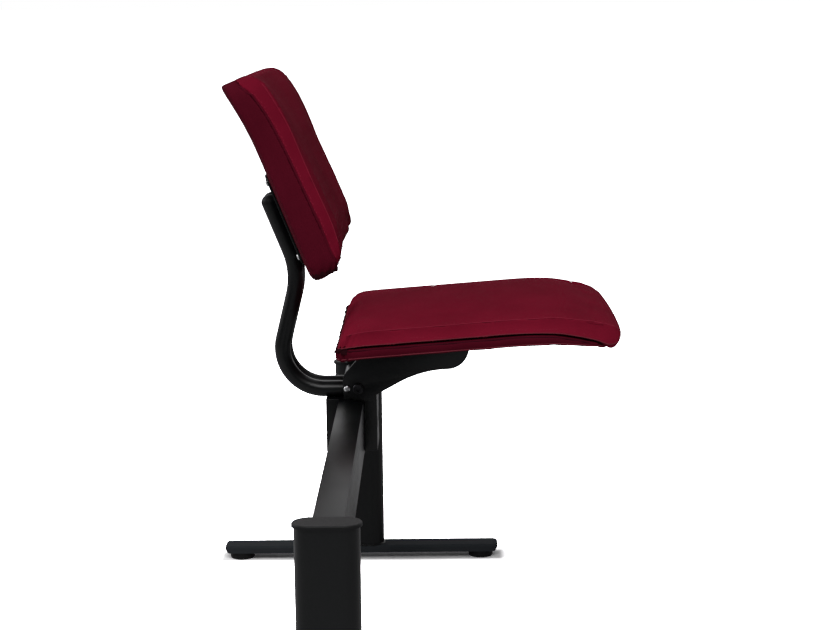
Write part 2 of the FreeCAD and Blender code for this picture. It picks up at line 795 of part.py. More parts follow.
# Seat: pivoting side plates, mount plate, pan and pad


def seat_bottom(d):
    """Give the height of the pan's underside at a distance forward of the seat's rear end."""
    fall_length = size("seat_depth") - size("seat_fall_start")
    past = max(0.0, d - size("seat_fall_start"))
    rise = d * math.tan(math.radians(size("seat_tilt")))
    return size("seat_rear_z") + rise - size("seat_fall") * (past / fall_length) ** 2


def pan_end():
    """Give how far forward of the seat's rear end the pan reaches, short of the nose."""
    return size("seat_depth") - size("nose_undercut")


def pan_depth(d):
    """Give the pan's thickness at a distance forward of the rear end: it thins out towards the nose."""
    full = size("pan_thickness")
    start = size("pan_taper_start")
    past = min(1.0, max(0.0, d - start) / (pan_end() - start))
    return full - (full - size("pan_front_thickness")) * past


def seat_seam(d):
    """Give the height of the pad's lower edge, which rises past the pan to the nose."""
    past = max(0.0, d - pan_end()) / size("nose_undercut")
    return seat_bottom(d) + pan_depth(d) + size("nose_rise") * past ** 2


def seat_y(d):
    return size("seat_rear_y") - d


def nose_inset(before):
    """Give the inset of the plan at a distance behind the nose: a round corner on a bowed edge."""
    corner = size("seat_front_corner")
    part = max(0.0, 1 - before / corner)
    bow = max(0.0, 1 - before / size("nose_bow"))
    return corner * (1 - math.sqrt(1 - part ** 2)) + size("nose_bow_inset") * bow ** 2


def seat_stations(end):
    """Give distances forward of the rear end with the inset of the rounded corners there.

    The ones between the corners are the same for the pan and the pad, so that the two meet along the seam.
    """
    corner = size("seat_front_corner")
    rear = quarter_steps(size("seat_rear_corner"))
    bow = size("nose_bow")
    befores = [bow * part for part in NOSE_SHARES]
    befores += [bow + (corner - bow) * part for part in NOSE_CORNER_SHARES]
    front = [(end - before, nose_inset(before)) for before in befores]
    first = rear[-1][0]
    last = pan_end() - corner
    middle = [(first + (last - first) * part, 0.0) for part in SEAT_SHARES]
    if front[-1][0] > last + TOUCH:
        middle.append((last, 0.0))
    return rear + middle + front[::-1]


def edge_swell(d, rear_length, front_length):
    """Give 0 at the seat's two ends and 1 inside, on an elliptical shoulder."""
    depth = size("seat_depth")
    near_end = min(1.0, d / rear_length, (depth - d) / front_length)
    return math.sqrt(1 - (1 - near_end) ** 2)


def seat_pan():
    wires = []
    inset_all = size("pan_inset")
    for d, inset in seat_stations(pan_end()):
        y = seat_y(d)
        w = size("seat_half_width") - inset - inset_all
        low = w - size("pan_draft")
        bottom = seat_bottom(d)
        top = bottom + pan_depth(d) - size("pad_gap")
        wires.append(Part.makePolygon([V(-w, y, top), V(w, y, top), V(low, y, bottom),
                                       V(-low, y, bottom), V(-w, y, top)]))
    pan = doc.addObject("Part::Feature", "seat_pan")
    pan.Shape = closed_loft(wires)
    pan.setExpression("Placement.Base.x", "sizes.seat_x")
    return keep(pan, "seat_pan")


def seat_pad():
    wires = []
    edge = size("seat_edge_height")
    least_crown = size("seat_edge_crown")
    for d, inset in seat_stations(size("seat_depth")):
        y = seat_y(d)
        w = size("seat_half_width") - inset
        seam = seat_seam(d)
        side = edge_swell(d, size("seat_rear_shoulder"), size("seat_front_shoulder"))
        level = seat_bottom(d) + size("pan_thickness")
        crease = max(seam, level) + edge + (size("seat_side_height") - edge) * side
        swell = edge_swell(d, size("seat_rear_crown"), size("seat_front_crown"))
        top = crease + least_crown + (size("seat_crown") - least_crown) * swell
        inner = w - size("seat_side_draw")
        a = V(-w, y, seam)
        b = V(w, y, seam)
        c = V(inner, y, crease)
        e = V(-inner, y, crease)
        crown = Part.Arc(c, V(0, y, top), e)
        wires.append(Part.Wire([Part.makeLine(a, b), Part.makeLine(b, c), crown.toShape(),
                                Part.makeLine(e, a)]))
    cushion = doc.addObject("Part::Feature", "seat_pad")
    cushion.Shape = closed_loft(wires)
    cushion.setExpression("Placement.Base.x", "sizes.seat_x")
    return keep(cushion, "seat_pad")


def pivot_point():
    return V(size("seat_x"), size("beam_y") - size("pivot_forward"), size("pivot_z"))


def side_plate_outline():
    """Give the edges of a side plate's outline in (Y, Z), from the pivot."""
    pivot = pivot_point()
    under = size("mount_plate_thickness") + size("mount_plate_clear")
    rear = size("mount_plate_rear")
    front = size("mount_plate_front")
    rear_top = V(seat_y(rear) - pivot.y, seat_bottom(rear) - under - pivot.z, 0)
    front_top = V(seat_y(front) - pivot.y, seat_bottom(front) - under - pivot.z, 0)

    def point(name):
        return V(-size(name + "_forward"), size(name + "_rise"), 0)

    def on_round_end(turn):
        angle = math.radians(size(turn))
        return point("plate_end") + V(math.cos(angle), math.sin(angle), 0) * size("side_plate_round")

    leave_rear = on_round_end("plate_rear_turn")
    underneath = on_round_end("plate_low_turn")
    leave_front = on_round_end("plate_front_turn")
    slope_end = point("plate_slope")
    flat = point("plate_flat")
    tip = V(front_top.x, size("plate_tip_rise"), 0)
    return [
        Part.LineSegment(rear_top, leave_rear),
        Part.Arc(leave_rear, underneath, leave_front),
        Part.LineSegment(leave_front, slope_end),
        Part.Arc(slope_end, point("plate_hollow"), flat),
        Part.Arc(flat, point("plate_nose"), tip),
        Part.LineSegment(tip, front_top),
        Part.LineSegment(front_top, rear_top),
    ]


def side_plate(side, sign):
    body = new_body("side_plate_" + side)
    outline = new_sketch(body, "YZ_Plane", "plate_outline_" + side)
    for edge in side_plate_outline():
        outline.addGeometry(edge, False)
    easy = " + sizes.pivot_play / 2"
    drill(outline, 0, 0, size("pivot_radius"), "sizes.pivot_radius" + easy)
    drill(outline, size("stop_offset"), 0, size("stop_radius"), "sizes.stop_radius" + easy)
    pad(body, outline, "plate_sheet_" + side, "sizes.side_plate_thickness")
    inner = "sizes.seat_x + %d * (sizes.carrier_length / 2 + sizes.side_plate_gap)" % sign
    start = inner if sign > 0 else inner + " - sizes.side_plate_thickness"
    place(body, start, "sizes.beam_y - sizes.pivot_forward", "sizes.pivot_z")
    return keep(body, "side_plate_" + side)


def mount_middle():
    """Give the middle of the seat mount plate's underside."""
    d = (size("mount_plate_rear") + size("mount_plate_front")) / 2
    drop = size("mount_plate_thickness") + size("mount_plate_clear") / 2
    return V(size("seat_x"), seat_y(d), seat_bottom(d) - drop)


def seat_screw_spread():
    """Give how far the seat screws stand from the mount plate's middle, across and along."""
    across = size("carrier_length") / 2 + size("side_plate_gap") - size("seat_screw_inset")
    along = (size("mount_plate_front") - size("mount_plate_rear")) / 2 - size("seat_screw_inset")
    return across, along


def seat_mount_plate():
    body = new_body("seat_mount_plate")
    outline = new_sketch(body, "XY_Plane", "seat_mount_outline")
    rectangle(outline,
              "sizes.carrier_length + 2 * sizes.side_plate_gap + 2 * sizes.side_plate_thickness",
              "sizes.mount_plate_front - sizes.mount_plate_rear")
    across, along = seat_screw_spread()
    for i, j in CORNERS:
        drill(outline, i * across, j * along, size("seat_screw_radius"),
              "sizes.seat_screw_radius + sizes.clamp_bolt_play")
    pad(body, outline, "seat_mount_sheet", "sizes.mount_plate_thickness")
    body.Placement = FreeCAD.Placement(mount_middle(), FreeCAD.Rotation(X_AXIS, -size("seat_tilt")))
    return keep(body, "seat_mount_plate")


def seat_screws():
    turned = FreeCAD.Rotation(X_AXIS, -size("seat_tilt"))
    across, along = seat_screw_spread()
    screws = []
    for number, (i, j) in enumerate(CORNERS):
        seat = mount_middle() + turned.multVec(V(i * across, j * along, 0))
        screws.append(headed("seat_screw_%d" % number, "seat_screw_radius", "sizes.seat_screw_length",
                             "seat_screw_head", "seat_screw_head_height", seat, turned.multVec(Z_AXIS)))
    return group("seat_screws", screws)


def pivot_parts():
    pivot = pivot_point()
    outer = size("carrier_length") / 2 + size("side_plate_gap") + size("side_plate_thickness")
    span = "sizes.carrier_length + 2 * sizes.side_plate_gap + 2 * sizes.side_plate_thickness"
    seat = pivot - X_AXIS * outer
    bolt = headed("pivot_bolt", "pivot_radius", span + " + sizes.pivot_head_height",
                  "pivot_head_radius", "pivot_head_height", seat, X_AXIS)
    keep(bolt, "pivot_bolt")

    nut_body = hexagon("pivot_nut_body", "sizes.nut_radius", "sizes.pivot_head_height",
                       pivot + X_AXIS * outer, X_AXIS)
    nut_bore = cylinder("pivot_nut_bore", "sizes.pivot_radius + sizes.pivot_play / 2",
                        "sizes.pivot_head_height", pivot + X_AXIS * outer, X_AXIS)
    keep(cut("pivot_nut_cut", nut_body, [nut_bore]), "pivot_nut")

    washers = []
    stops = []
    slack = (size("side_plate_gap") - size("washer_thickness")) / 2
    for side, sign in SIDES:
        inner = pivot + X_AXIS * (sign * (size("carrier_length") / 2 + slack))
        ring = cylinder("washer_ring_" + side, "sizes.washer_radius", "sizes.washer_thickness",
                        inner, X_AXIS * sign)
        hole = cylinder("washer_hole_" + side, "sizes.pivot_radius + sizes.pivot_play",
                        "sizes.washer_thickness", inner, X_AXIS * sign)
        washers.append(cut("washer_" + side, ring, [hole]))
        face = pivot + X_AXIS * (sign * outer) + Y_AXIS * size("stop_offset")
        stops.append(headed("stop_screw_" + side, "stop_radius",
                            "sizes.side_plate_thickness + sizes.side_plate_gap + sizes.stop_reach",
                            "stop_head_radius", "stop_head_height", face, X_AXIS * -sign))
    group("pivot_washers", washers)
    group("stop_screws", stops)


for side_name, side_sign in SIDES:
    leg_column(side_name, side_sign)
    column_cap(side_name, side_sign)
    foot_bar(side_name, side_sign)
    foot_glides(side_name, side_sign)
    back_tube(side_name, side_sign)
    side_plate(side_name, side_sign)
beam_tube()
saddle()
saddle_clamp()
clamp_fasteners()
tube_plugs()
back_mount_plate()
back_screws()
back_shell()
back_pad()
seat_pan()
seat_pad()
seat_mount_plate()
seat_screws()
pivot_parts()
doc.recompute()

# Check every object, then write the sub-parts

for item in doc.Objects:
    if "Invalid" in item.State or "Error" in item.State:
        raise RuntimeError("%s did not compute: %s" % (item.Label, item.State))
for node in nodes:
    if node.Shape.isNull() or not node.Shape.isValid():
        raise RuntimeError("%s has no valid shape" % node.Label)

os.makedirs("parts", exist_ok=True)
for node in nodes:
    node.Shape.exportStep("parts/%s.step" % node.Label)
    print("%-18s %8.0f mm3  %s" % (node.Label, node.Shape.Volume, node.Shape.BoundBox))
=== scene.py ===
"""Looks of the beam seat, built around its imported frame. Metres, in the frame's own axes.

X runs along the beam from the near leg to the far one, the seat faces -Y, and the floor is Z = 0.
"""

import math

import bmesh
import bpy
from mathutils import Matrix, Vector, noise
from mathutils.kdtree import KDTree


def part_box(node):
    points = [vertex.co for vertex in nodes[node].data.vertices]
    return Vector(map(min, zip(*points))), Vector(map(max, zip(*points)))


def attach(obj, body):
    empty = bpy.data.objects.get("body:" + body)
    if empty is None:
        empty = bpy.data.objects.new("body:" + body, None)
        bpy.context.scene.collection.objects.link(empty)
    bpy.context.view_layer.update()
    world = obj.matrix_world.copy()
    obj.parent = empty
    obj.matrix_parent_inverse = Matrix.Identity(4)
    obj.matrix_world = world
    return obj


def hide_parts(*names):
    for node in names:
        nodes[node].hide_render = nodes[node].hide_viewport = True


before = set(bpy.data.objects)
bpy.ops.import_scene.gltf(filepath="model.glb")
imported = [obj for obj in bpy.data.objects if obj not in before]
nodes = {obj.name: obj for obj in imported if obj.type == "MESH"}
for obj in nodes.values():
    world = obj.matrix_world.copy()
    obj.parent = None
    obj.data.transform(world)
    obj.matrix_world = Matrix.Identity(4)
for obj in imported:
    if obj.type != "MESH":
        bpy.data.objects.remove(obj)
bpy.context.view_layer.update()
bpy.ops.object.select_all(action="DESELECT")
bpy.context.scene.view_settings.view_transform = "Standard"

MERGE = 0.00001
FULL_TURN = 2 * math.pi

# Places on the seat that the pieces share

SEAT_X = 0.240
BEAM_Y = 0.082
BEAM_TOP = 0.327
LEG_X = 0.486
PIVOT = Vector((SEAT_X, 0.071, 0.347))
SEAT_REAR = 0.095
SEAT_HALF = 0.203
SEAT_BAND = 0.012
SEAT_TILT = math.radians(4.1)
BACK_HALF = 0.202
BACK_LEAN = math.radians(21.7)
BACK_UP = Vector((0, math.sin(BACK_LEAN), math.cos(BACK_LEAN)))
BACK_OUT = Vector((0, math.cos(BACK_LEAN), -math.sin(BACK_LEAN)))
BACK_MIDDLE = Vector((SEAT_X, 0.1729, 0.5980))
BACK_LOW = 0.080
SEAT_SEAM = 0.4297
FOOT_HALF = Vector((0.021, 0.229))

# Fineness of the cloth, its sewing and the weld beads

VOXEL = 0.0045
FOLD_PITCH = 0.0125
STITCH = 0.0004
STITCH_PITCH = 0.0042
HEM_STEP = 0.0011
HEM_PITCH = 0.0085
HEM_ROWS = 5
HEM_INSET = 0.012
BEAD_STEP = 0.0016

# How far the cushions are moved out of the nodes' own forms

BAND_HOLLOW = 0.0030
REAR_TUCK = 0.0046
NOSE_FORWARD = 0.0030
NOSE_UNDERCUT = 0.0060
NOSE_DROP = 0.0085
SHOULDER_DROP = 0.0058
PAN_HANG = 0.0026
BACK_CURL = 0.013
BACK_HANG = 0.0038
TOP_FULLER = 0.0048
TOP_LAP = 0.0120
TOP_RAISE = 0.0028
LOW_TUCK = 0.0030
CREASE_DRAW = 0.0020
CORNER_DRAW = 0.0140
CORNER_RAISE = 0.0100


# Handling of objects and selections


def pick(piece):
    """Make one object the only one that is selected, and the active one."""
    bpy.ops.object.select_all(action="DESELECT")
    piece.select_set(True)
    bpy.context.view_layer.objects.active = piece


def edit_mode(piece, kind="FACE"):
    pick(piece)
    bpy.ops.object.mode_set(mode="EDIT")
    bpy.ops.mesh.select_mode(type=kind)
    bpy.ops.mesh.select_all(action="DESELECT")


def object_mode():
    bpy.ops.object.mode_set(mode="OBJECT")


def choose(piece, kind, test):
    """Open a piece in edit mode with only those faces, edges or points selected that the test picks."""
    edit_mode(piece, kind)
    mesh = bmesh.from_edit_mesh(piece.data)
    mesh.normal_update()
    for item in {"VERT": mesh.verts, "EDGE": mesh.edges, "FACE": mesh.faces}[kind]:
        if test(item):
            item.select_set(True)
    bmesh.update_edit_mesh(piece.data)


def modify(piece, kind, **settings):
    """Add a modifier with its settings and apply it."""
    pick(piece)
    modifier = piece.modifiers.new(kind.lower(), kind)
    for key, value in settings.items():
        setattr(modifier, key, value)
    bpy.ops.object.modifier_apply(modifier=modifier.name)


def smooth(piece, angle=35.0):
    pick(piece)
    bpy.ops.object.shade_smooth_by_angle(angle=math.radians(angle))


def settle(piece):
    """Put an object's place and turn into its mesh."""
    pick(piece)
    bpy.ops.object.transform_apply(location=True, rotation=True, scale=True)


def turn_to(piece, direction, place):
    """Point a piece that was modelled along +Z in a direction, at a place."""
    piece.rotation_euler = Vector(direction).to_track_quat("Z", "Y").to_euler()
    piece.location = place
    settle(piece)


def join(pieces, name):
    """Join pieces into one object of that name."""
    pick(pieces[0])
    for piece in pieces[1:]:
        piece.select_set(True)
    if len(pieces) > 1:
        bpy.ops.object.join()
    pieces[0].name = name
    return pieces[0]


def twin(piece, direction, place):
    """Copy a piece that was modelled along +Z, with a mesh of its own, to another place."""
    pick(piece)
    bpy.ops.object.duplicate(linked=False)
    copy = bpy.context.object
    turn_to(copy, direction, place)
    return copy


def discard(piece):
    bpy.data.objects.remove(piece, do_unlink=True)


def copy_of_node(node, name):
    """Copy a node's mesh into a new piece and merge its loose triangles."""
    piece = bpy.data.objects.new(name, nodes[node].data.copy())
    bpy.context.scene.collection.objects.link(piece)
    piece.data.materials.clear()
    edit_mode(piece, "VERT")
    bpy.ops.mesh.select_all(action="SELECT")
    bpy.ops.mesh.remove_doubles(threshold=MERGE)
    object_mode()
    return piece


def finish(piece, body, material, slot, *replaced):
    """Give a piece its material, its body and the nodes that it stands for."""
    piece.data.materials.clear()
    piece.data.materials.append(material)
    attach(piece, body)
    if replaced:
        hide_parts(*replaced)
    return piece


# Shader groups that the materials share


def new_group(name, inputs, outputs):
    """Start a shader group with named value inputs and outputs."""
    group = bpy.data.node_groups.new(name, "ShaderNodeTree")
    for label, default in inputs:
        socket = group.interface.new_socket(label, in_out="INPUT", socket_type="NodeSocketFloat")
        socket.default_value = default
    for label, kind in outputs:
        group.interface.new_socket(label, in_out="OUTPUT", socket_type=kind)
    return group, group.nodes.new("NodeGroupInput"), group.nodes.new("NodeGroupOutput")


def math_node(tree, operation, first, second=None):
    """Add a Math node whose inputs are sockets or numbers, and give its output."""
    node = tree.nodes.new("ShaderNodeMath")
    node.operation = operation
    for socket, value in zip(node.inputs, (first, second)):
        if value is None:
            continue
        if isinstance(value, (int, float)):
            socket.default_value = value
        else:
            tree.links.new(value, socket)
    return node.outputs[0]


def noise_node(tree, scale, detail, vector):
    node = tree.nodes.new("ShaderNodeTexNoise")
    node.inputs["Detail"].default_value = detail
    if isinstance(scale, (int, float)):
        node.inputs["Scale"].default_value = scale
    else:
        tree.links.new(scale, node.inputs["Scale"])
    tree.links.new(vector, node.inputs["Vector"])
    return node.outputs["Fac"]


def weave_group():
    """A plain weave that lies along whichever two axes the surface faces least."""
    group, start, end = new_group("plain_weave", [("Pitch", 0.0018)], [("Height", "NodeSocketFloat")])
    place = group.nodes.new("ShaderNodeTexCoord")
    where = group.nodes.new("ShaderNodeSeparateXYZ")
    group.links.new(place.outputs["Object"], where.inputs[0])
    facing = group.nodes.new("ShaderNodeSeparateXYZ")
    group.links.new(place.outputs["Normal"], facing.inputs[0])
    wobble = noise_node(group, 260.0, 2.0, place.outputs["Object"])
    wobble = math_node(group, "MULTIPLY", wobble, 1.6)
    turns = math_node(group, "DIVIDE", FULL_TURN, start.outputs["Pitch"])
    waves = []
    for axis in range(3):
        along = math_node(group, "MULTIPLY", where.outputs[axis], turns)
        waves.append(math_node(group, "SINE", math_node(group, "ADD", along, wobble)))
    total = None
    for axis in range(3):
        share = math_node(group, "MULTIPLY", facing.outputs[axis], facing.outputs[axis])
        crossing = math_node(group, "MULTIPLY", waves[(axis + 1) % 3], waves[(axis + 2) % 3])
        part = math_node(group, "MULTIPLY", share, crossing)
        total = part if total is None else math_node(group, "ADD", total, part)
    group.links.new(math_node(group, "MULTIPLY_ADD", total, 0.5), end.inputs["Height"])
    return group


def mottle_group():
    """Two scales of soft noise: broad patches and a fine grain."""
    group, start, end = new_group(
        "mottle",
        [("Patch Scale", 9.0), ("Grain Scale", 700.0)],
        [("Patch", "NodeSocketFloat"), ("Grain", "NodeSocketFloat")],
    )
    place = group.nodes.new("ShaderNodeTexCoord")
    patch = noise_node(group, start.outputs["Patch Scale"], 4.0, place.outputs["Object"])
    grain = noise_node(group, start.outputs["Grain Scale"], 2.0, place.outputs["Object"])
    group.links.new(patch, end.inputs["Patch"])
    group.links.new(grain, end.inputs["Grain"])
    return group


WEAVE = weave_group()
MOTTLE = mottle_group()


# Materials


def new_material(name):
    material = bpy.data.materials.new(name)
    material.use_nodes = True
    return material, material.node_tree, material.node_tree.nodes["Principled BSDF"]


def placed(tree, group, **values):
    """Place a shared group in a material with its own values."""
    node = tree.nodes.new("ShaderNodeGroup")
    node.node_tree = group
    for label, value in values.items():
        node.inputs[label.replace("_", " ")].default_value = value
    return node


def ramp(tree, factor, low, high, start=0.3, stop=0.7):
    """Blend two colours over a mask."""
    node = tree.nodes.new("ShaderNodeValToRGB")
    node.color_ramp.elements[0].position = start
    node.color_ramp.elements[0].color = (*low, 1)
    node.color_ramp.elements[1].position = stop
    node.color_ramp.elements[1].color = (*high, 1)
    tree.links.new(factor, node.inputs["Fac"])
    return node.outputs["Color"]


def between(tree, factor, low, high):
    """Map a mask to a range of values."""
    node = tree.nodes.new("ShaderNodeMapRange")
    node.inputs["From Min"].default_value = 0.3
    node.inputs["From Max"].default_value = 0.7
    node.inputs["To Min"].default_value = low
    node.inputs["To Max"].default_value = high
    tree.links.new(factor, node.inputs["Value"])
    return node.outputs["Result"]


def raise_surface(tree, shader, height, distance, strength):
    """Feed a height to the shader's normal."""
    bump = tree.nodes.new("ShaderNodeBump")
    bump.inputs["Distance"].default_value = distance
    bump.inputs["Strength"].default_value = strength
    tree.links.new(height, bump.inputs["Height"])
    tree.links.new(bump.outputs["Normal"], shader.inputs["Normal"])


def burgundy_cloth(name, low, high):
    """Woven wool upholstery, a little uneven in its dye."""
    material, tree, shader = new_material(name)
    weave = placed(tree, WEAVE, Pitch=0.0018)
    patches = placed(tree, MOTTLE, Patch_Scale=14.0, Grain_Scale=420.0)
    thread = math_node(tree, "MULTIPLY", weave.outputs["Height"], 0.5)
    tone = math_node(tree, "ADD", math_node(tree, "MULTIPLY", patches.outputs["Patch"], 0.5), thread)
    tree.links.new(ramp(tree, tone, low, high, 0.2, 0.8), shader.inputs["Base Color"])
    tree.links.new(between(tree, patches.outputs["Grain"], 0.78, 0.92), shader.inputs["Roughness"])
    shader.inputs["Specular IOR Level"].default_value = 0.012
    height = math_node(tree, "ADD", weave.outputs["Height"],
                       math_node(tree, "MULTIPLY", patches.outputs["Grain"], 0.4))
    raise_surface(tree, shader, height, 0.0004, 0.55)
    return material


def satin_coat(name, low, high, rough, specular, peel):
    """Black powder coat with a fine orange peel."""
    material, tree, shader = new_material(name)
    mottle = placed(tree, MOTTLE, Patch_Scale=7.0, Grain_Scale=900.0)
    tree.links.new(ramp(tree, mottle.outputs["Patch"], low, high), shader.inputs["Base Color"])
    finish_range = between(tree, mottle.outputs["Patch"], rough - 0.05, rough + 0.05)
    tree.links.new(finish_range, shader.inputs["Roughness"])
    shader.inputs["Specular IOR Level"].default_value = specular
    raise_surface(tree, shader, mottle.outputs["Grain"], 0.0001, peel)
    return material


def bare_metal(name, low, high, rough):
    """Plated or blackened steel."""
    material, tree, shader = new_material(name)
    mottle = placed(tree, MOTTLE, Patch_Scale=240.0, Grain_Scale=2600.0)
    tree.links.new(ramp(tree, mottle.outputs["Patch"], low, high), shader.inputs["Base Color"])
    finish_range = between(tree, mottle.outputs["Grain"], rough - 0.06, rough + 0.08)
    tree.links.new(finish_range, shader.inputs["Roughness"])
    shader.inputs["Metallic"].default_value = 1.0
    raise_surface(tree, shader, mottle.outputs["Grain"], 0.00005, 0.25)
    return material


CLOTH = burgundy_cloth("burgundy_cloth", (0.112, 0.0042, 0.0130), (0.200, 0.0080, 0.0245))
# Painted shade: the seat's cloth made darker for the back cushion, which is the same cloth.
SHADED_BACK_CLOTH = burgundy_cloth("burgundy_back_cloth_painted_shade", (0.095, 0.0030, 0.0108), (0.168, 0.0060, 0.0204))
# Painted shade: the same cloth made darker for the seat's underside, the back's cover and the back's welt,
# which lie in shade.
SHADED_COVER_CLOTH = burgundy_cloth("burgundy_cover_painted_shade", (0.048, 0.0024, 0.0070), (0.086, 0.0046, 0.0132))
# Painted sheen: the cords along the seat's seam and the pan's lower edge are coloured lighter and greyer than
# the cloth, as highlights on rounded edges.
SHEEN_PIPING = burgundy_cloth("piping_painted_sheen", (0.110, 0.0170, 0.0260), (0.190, 0.0300, 0.0460))
# Painted shade: the seat's welt is a dark cord laid in the groove between the cushion and its pan, standing
# in for the groove's shadow.
SEAM_SHADE = burgundy_cloth("seam_painted_shade", (0.0240, 0.0022, 0.0054), (0.0440, 0.0038, 0.0096))
THREAD = burgundy_cloth("burgundy_thread", (0.170, 0.0110, 0.0260), (0.260, 0.0200, 0.0420))
# Painted shade: the gathered hems are coloured near black for the shade inside their gathers.
HEM_SHADE = burgundy_cloth("hem_painted_shade", (0.0100, 0.0024, 0.0036), (0.0260, 0.0040, 0.0066))
COAT = satin_coat("satin_black_coat", (0.0022, 0.0024, 0.0027), (0.0038, 0.0040, 0.0044), 0.34, 0.25, 0.18)
# Partly painted light: the feet's coat is rougher than the frame's, a real finish, and its colour is lighter
# to stand in for light on their front faces.
LIT_FOOT_COAT = satin_coat("rough_black_coat_painted_light", (0.0200, 0.0222, 0.0250), (0.0290, 0.0316, 0.0350), 0.7, 0.02, 0.5)
PLASTIC = satin_coat("grained_plastic", (0.0062, 0.0062, 0.0066), (0.0094, 0.0093, 0.0099), 0.5, 0.12, 0.5)
DARK_STEEL = bare_metal("blackened_steel", (0.020, 0.020, 0.022), (0.045, 0.045, 0.048), 0.36)
ZINC = bare_metal("bright_zinc", (0.58, 0.585, 0.60), (0.76, 0.765, 0.775), 0.26)


# Cushions: a node's own form, drawn in, remeshed and blown up as cloth


def blow_up(piece, held, pressure, most, frames=20):
    """Swell a piece as pressurised cloth, with some points held, no further than a most distance."""
    rest = [point.co.copy() for point in piece.data.vertices]
    pins = piece.vertex_groups.new(name="held")
    pins.add([i for i, point in enumerate(rest) if held(point)], 1.0, "REPLACE")
    modifier = piece.modifiers.new("cloth", "CLOTH")
    cover = modifier.settings
    cover.quality = 6
    cover.mass = 0.3
    cover.tension_stiffness = 30
    cover.compression_stiffness = 30
    cover.shear_stiffness = 15
    cover.bending_stiffness = 4
    cover.use_pressure = True
    cover.uniform_pressure_force = pressure
    cover.vertex_group_mass = pins.name
    cover.effector_weights.gravity = 0
    modifier.collision_settings.use_collision = False
    modifier.point_cache.frame_start = 1
    modifier.point_cache.frame_end = frames
    for moment in range(1, frames + 1):
        bpy.context.scene.frame_set(moment)
    swollen = piece.evaluated_get(bpy.context.evaluated_depsgraph_get()).data
    ends = [point.co.copy() for point in swollen.vertices]
    piece.modifiers.remove(modifier)
    for point, start, stop in zip(piece.data.vertices, rest, ends):
        move = stop - start
        if move.length > most:
            move *= most / move.length
        point.co = start + move
    piece.vertex_groups.clear()
    bpy.context.scene.frame_set(1)


def move_points(piece, shift):
    """Move each point of a piece by what a function of its place and normal gives."""
    normals = [point.normal.copy() for point in piece.data.vertices]
    for point, normal in zip(piece.data.vertices, normals):
        point.co += shift(point.co.copy(), normal)
    piece.data.update()


def line_of_node(node, name, test, cuts=3):
    """Copy the edges of a node that a test of their faces' normals picks, and nothing else."""
    piece = copy_of_node(node, name)

    def not_wanted(edge):
        a, b = [face.normal for face in edge.link_faces]
        return not test(a, b) and not test(b, a)

    choose(piece, "EDGE", not_wanted)
    bpy.ops.mesh.delete(type="EDGE")
    bpy.ops.mesh.select_all(action="SELECT")
    bpy.ops.mesh.delete(type="ONLY_FACE")
    bpy.ops.mesh.select_all(action="SELECT")
    bpy.ops.mesh.subdivide(number_cuts=cuts)
    object_mode()
    return piece


def sharpen(piece, line):
    """Draw a cushion's points close to a sewn line onto it, and keep the edges along it sharp."""
    tree = KDTree(len(line.data.vertices))
    for i, point in enumerate(line.data.vertices):
        tree.insert(point.co, i)
    tree.balance()
    for point in piece.data.vertices:
        place, index, distance = tree.find(point.co)
        if distance < 0.55 * VOXEL:
            point.co = place
    edit_mode(piece, "VERT")
    bpy.ops.mesh.select_all(action="SELECT")
    bpy.ops.mesh.remove_doubles(threshold=0.0005)
    mesh = bmesh.from_edit_mesh(piece.data)
    crease = mesh.edges.layers.float.new("crease_edge")
    for edge in mesh.edges:
        if all(tree.find(point.co)[2] < MERGE for point in edge.verts):
            edge[crease] = 1.0
    bmesh.update_edit_mesh(piece.data)
    object_mode()


def seat_crease(a, b):
    return abs(a.x) > 0.7 and b.z > 0.7


def back_crease(a, b):
    return abs(a.x) > 0.75 and b.dot(BACK_OUT) < -0.7


def stuffed(node, name, draw_in, form, crease=None, held=None, pressure=0.0, most=0.0):
    """Make a cushion from a node: remesh, draw in, sharpen, blow up with a pressure, subdivide and form."""
    piece = copy_of_node(node, name)
    modify(piece, "REMESH", mode="VOXEL", voxel_size=VOXEL)
    modify(piece, "SMOOTH", factor=0.5, iterations=1)
    if draw_in:
        modify(piece, "DISPLACE", strength=-draw_in, mid_level=0.0)
    if crease:
        line = line_of_node(node, name + "_crease", crease, 24)
        sharpen(piece, line)
        discard(line)
    if pressure:
        blow_up(piece, held, pressure, most)
    modify(piece, "SUBSURF", levels=1, render_levels=1)
    move_points(piece, form)
    pick(piece)
    bpy.ops.object.shade_smooth()
    return piece


def folds(along, depth):
    """Give the depth of uneven gathers at a distance along an edge."""
    drift = noise.noise(Vector((along * 31, 4.2, 0.7)))
    strength = 0.65 + 0.5 * noise.noise(Vector((along * 47, 1.3, 9.1)))
    return depth * strength * math.sin(FULL_TURN * along / FOLD_PITCH + 3.2 * drift)


def fade(distance, reach):
    """Give 1 at an edge and 0 at a reach from it, softly."""
    part = max(0.0, 1 - distance / reach)
    return part * part * (3 - 2 * part)


def share(value, start, stop):
    """Give how far a value has gone from a start to a stop, from 0 to 1."""
    return min(1.0, max(0.0, (value - start) / (stop - start)))


NOSE = Vector(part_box("seat_pad")[0])


def seat_gathers(place, normal):
    """The cover is drawn together along the seat's rear edge and round its rear corners."""
    behind = SEAT_REAR - place.y
    along = abs(place.x - SEAT_X) + behind
    side = math.copysign(0.3, place.x - SEAT_X)
    corner = fade(max(0.0, SEAT_HALF - abs(place.x - SEAT_X)), 0.11)
    depth = 0.0014 + 0.0016 * corner
    return normal * folds(along + side, depth) * fade(behind, 0.040)


def back_gathers(place, normal):
    """The cover hangs a little along the back's lower edge and is drawn together round its corners."""
    above = (place - BACK_MIDDLE).dot(BACK_UP) + 0.084
    along = abs(place.x - SEAT_X) + (place - BACK_MIDDLE).dot(BACK_OUT)
    side = math.copysign(0.3, place.x - SEAT_X)
    corner = fade(max(0.0, BACK_HALF - abs(place.x - SEAT_X)), 0.030)
    depth = 0.0004 + 0.0024 * corner
    return (normal * folds(along + side, depth) - BACK_UP * BACK_HANG) * fade(above, 0.046)


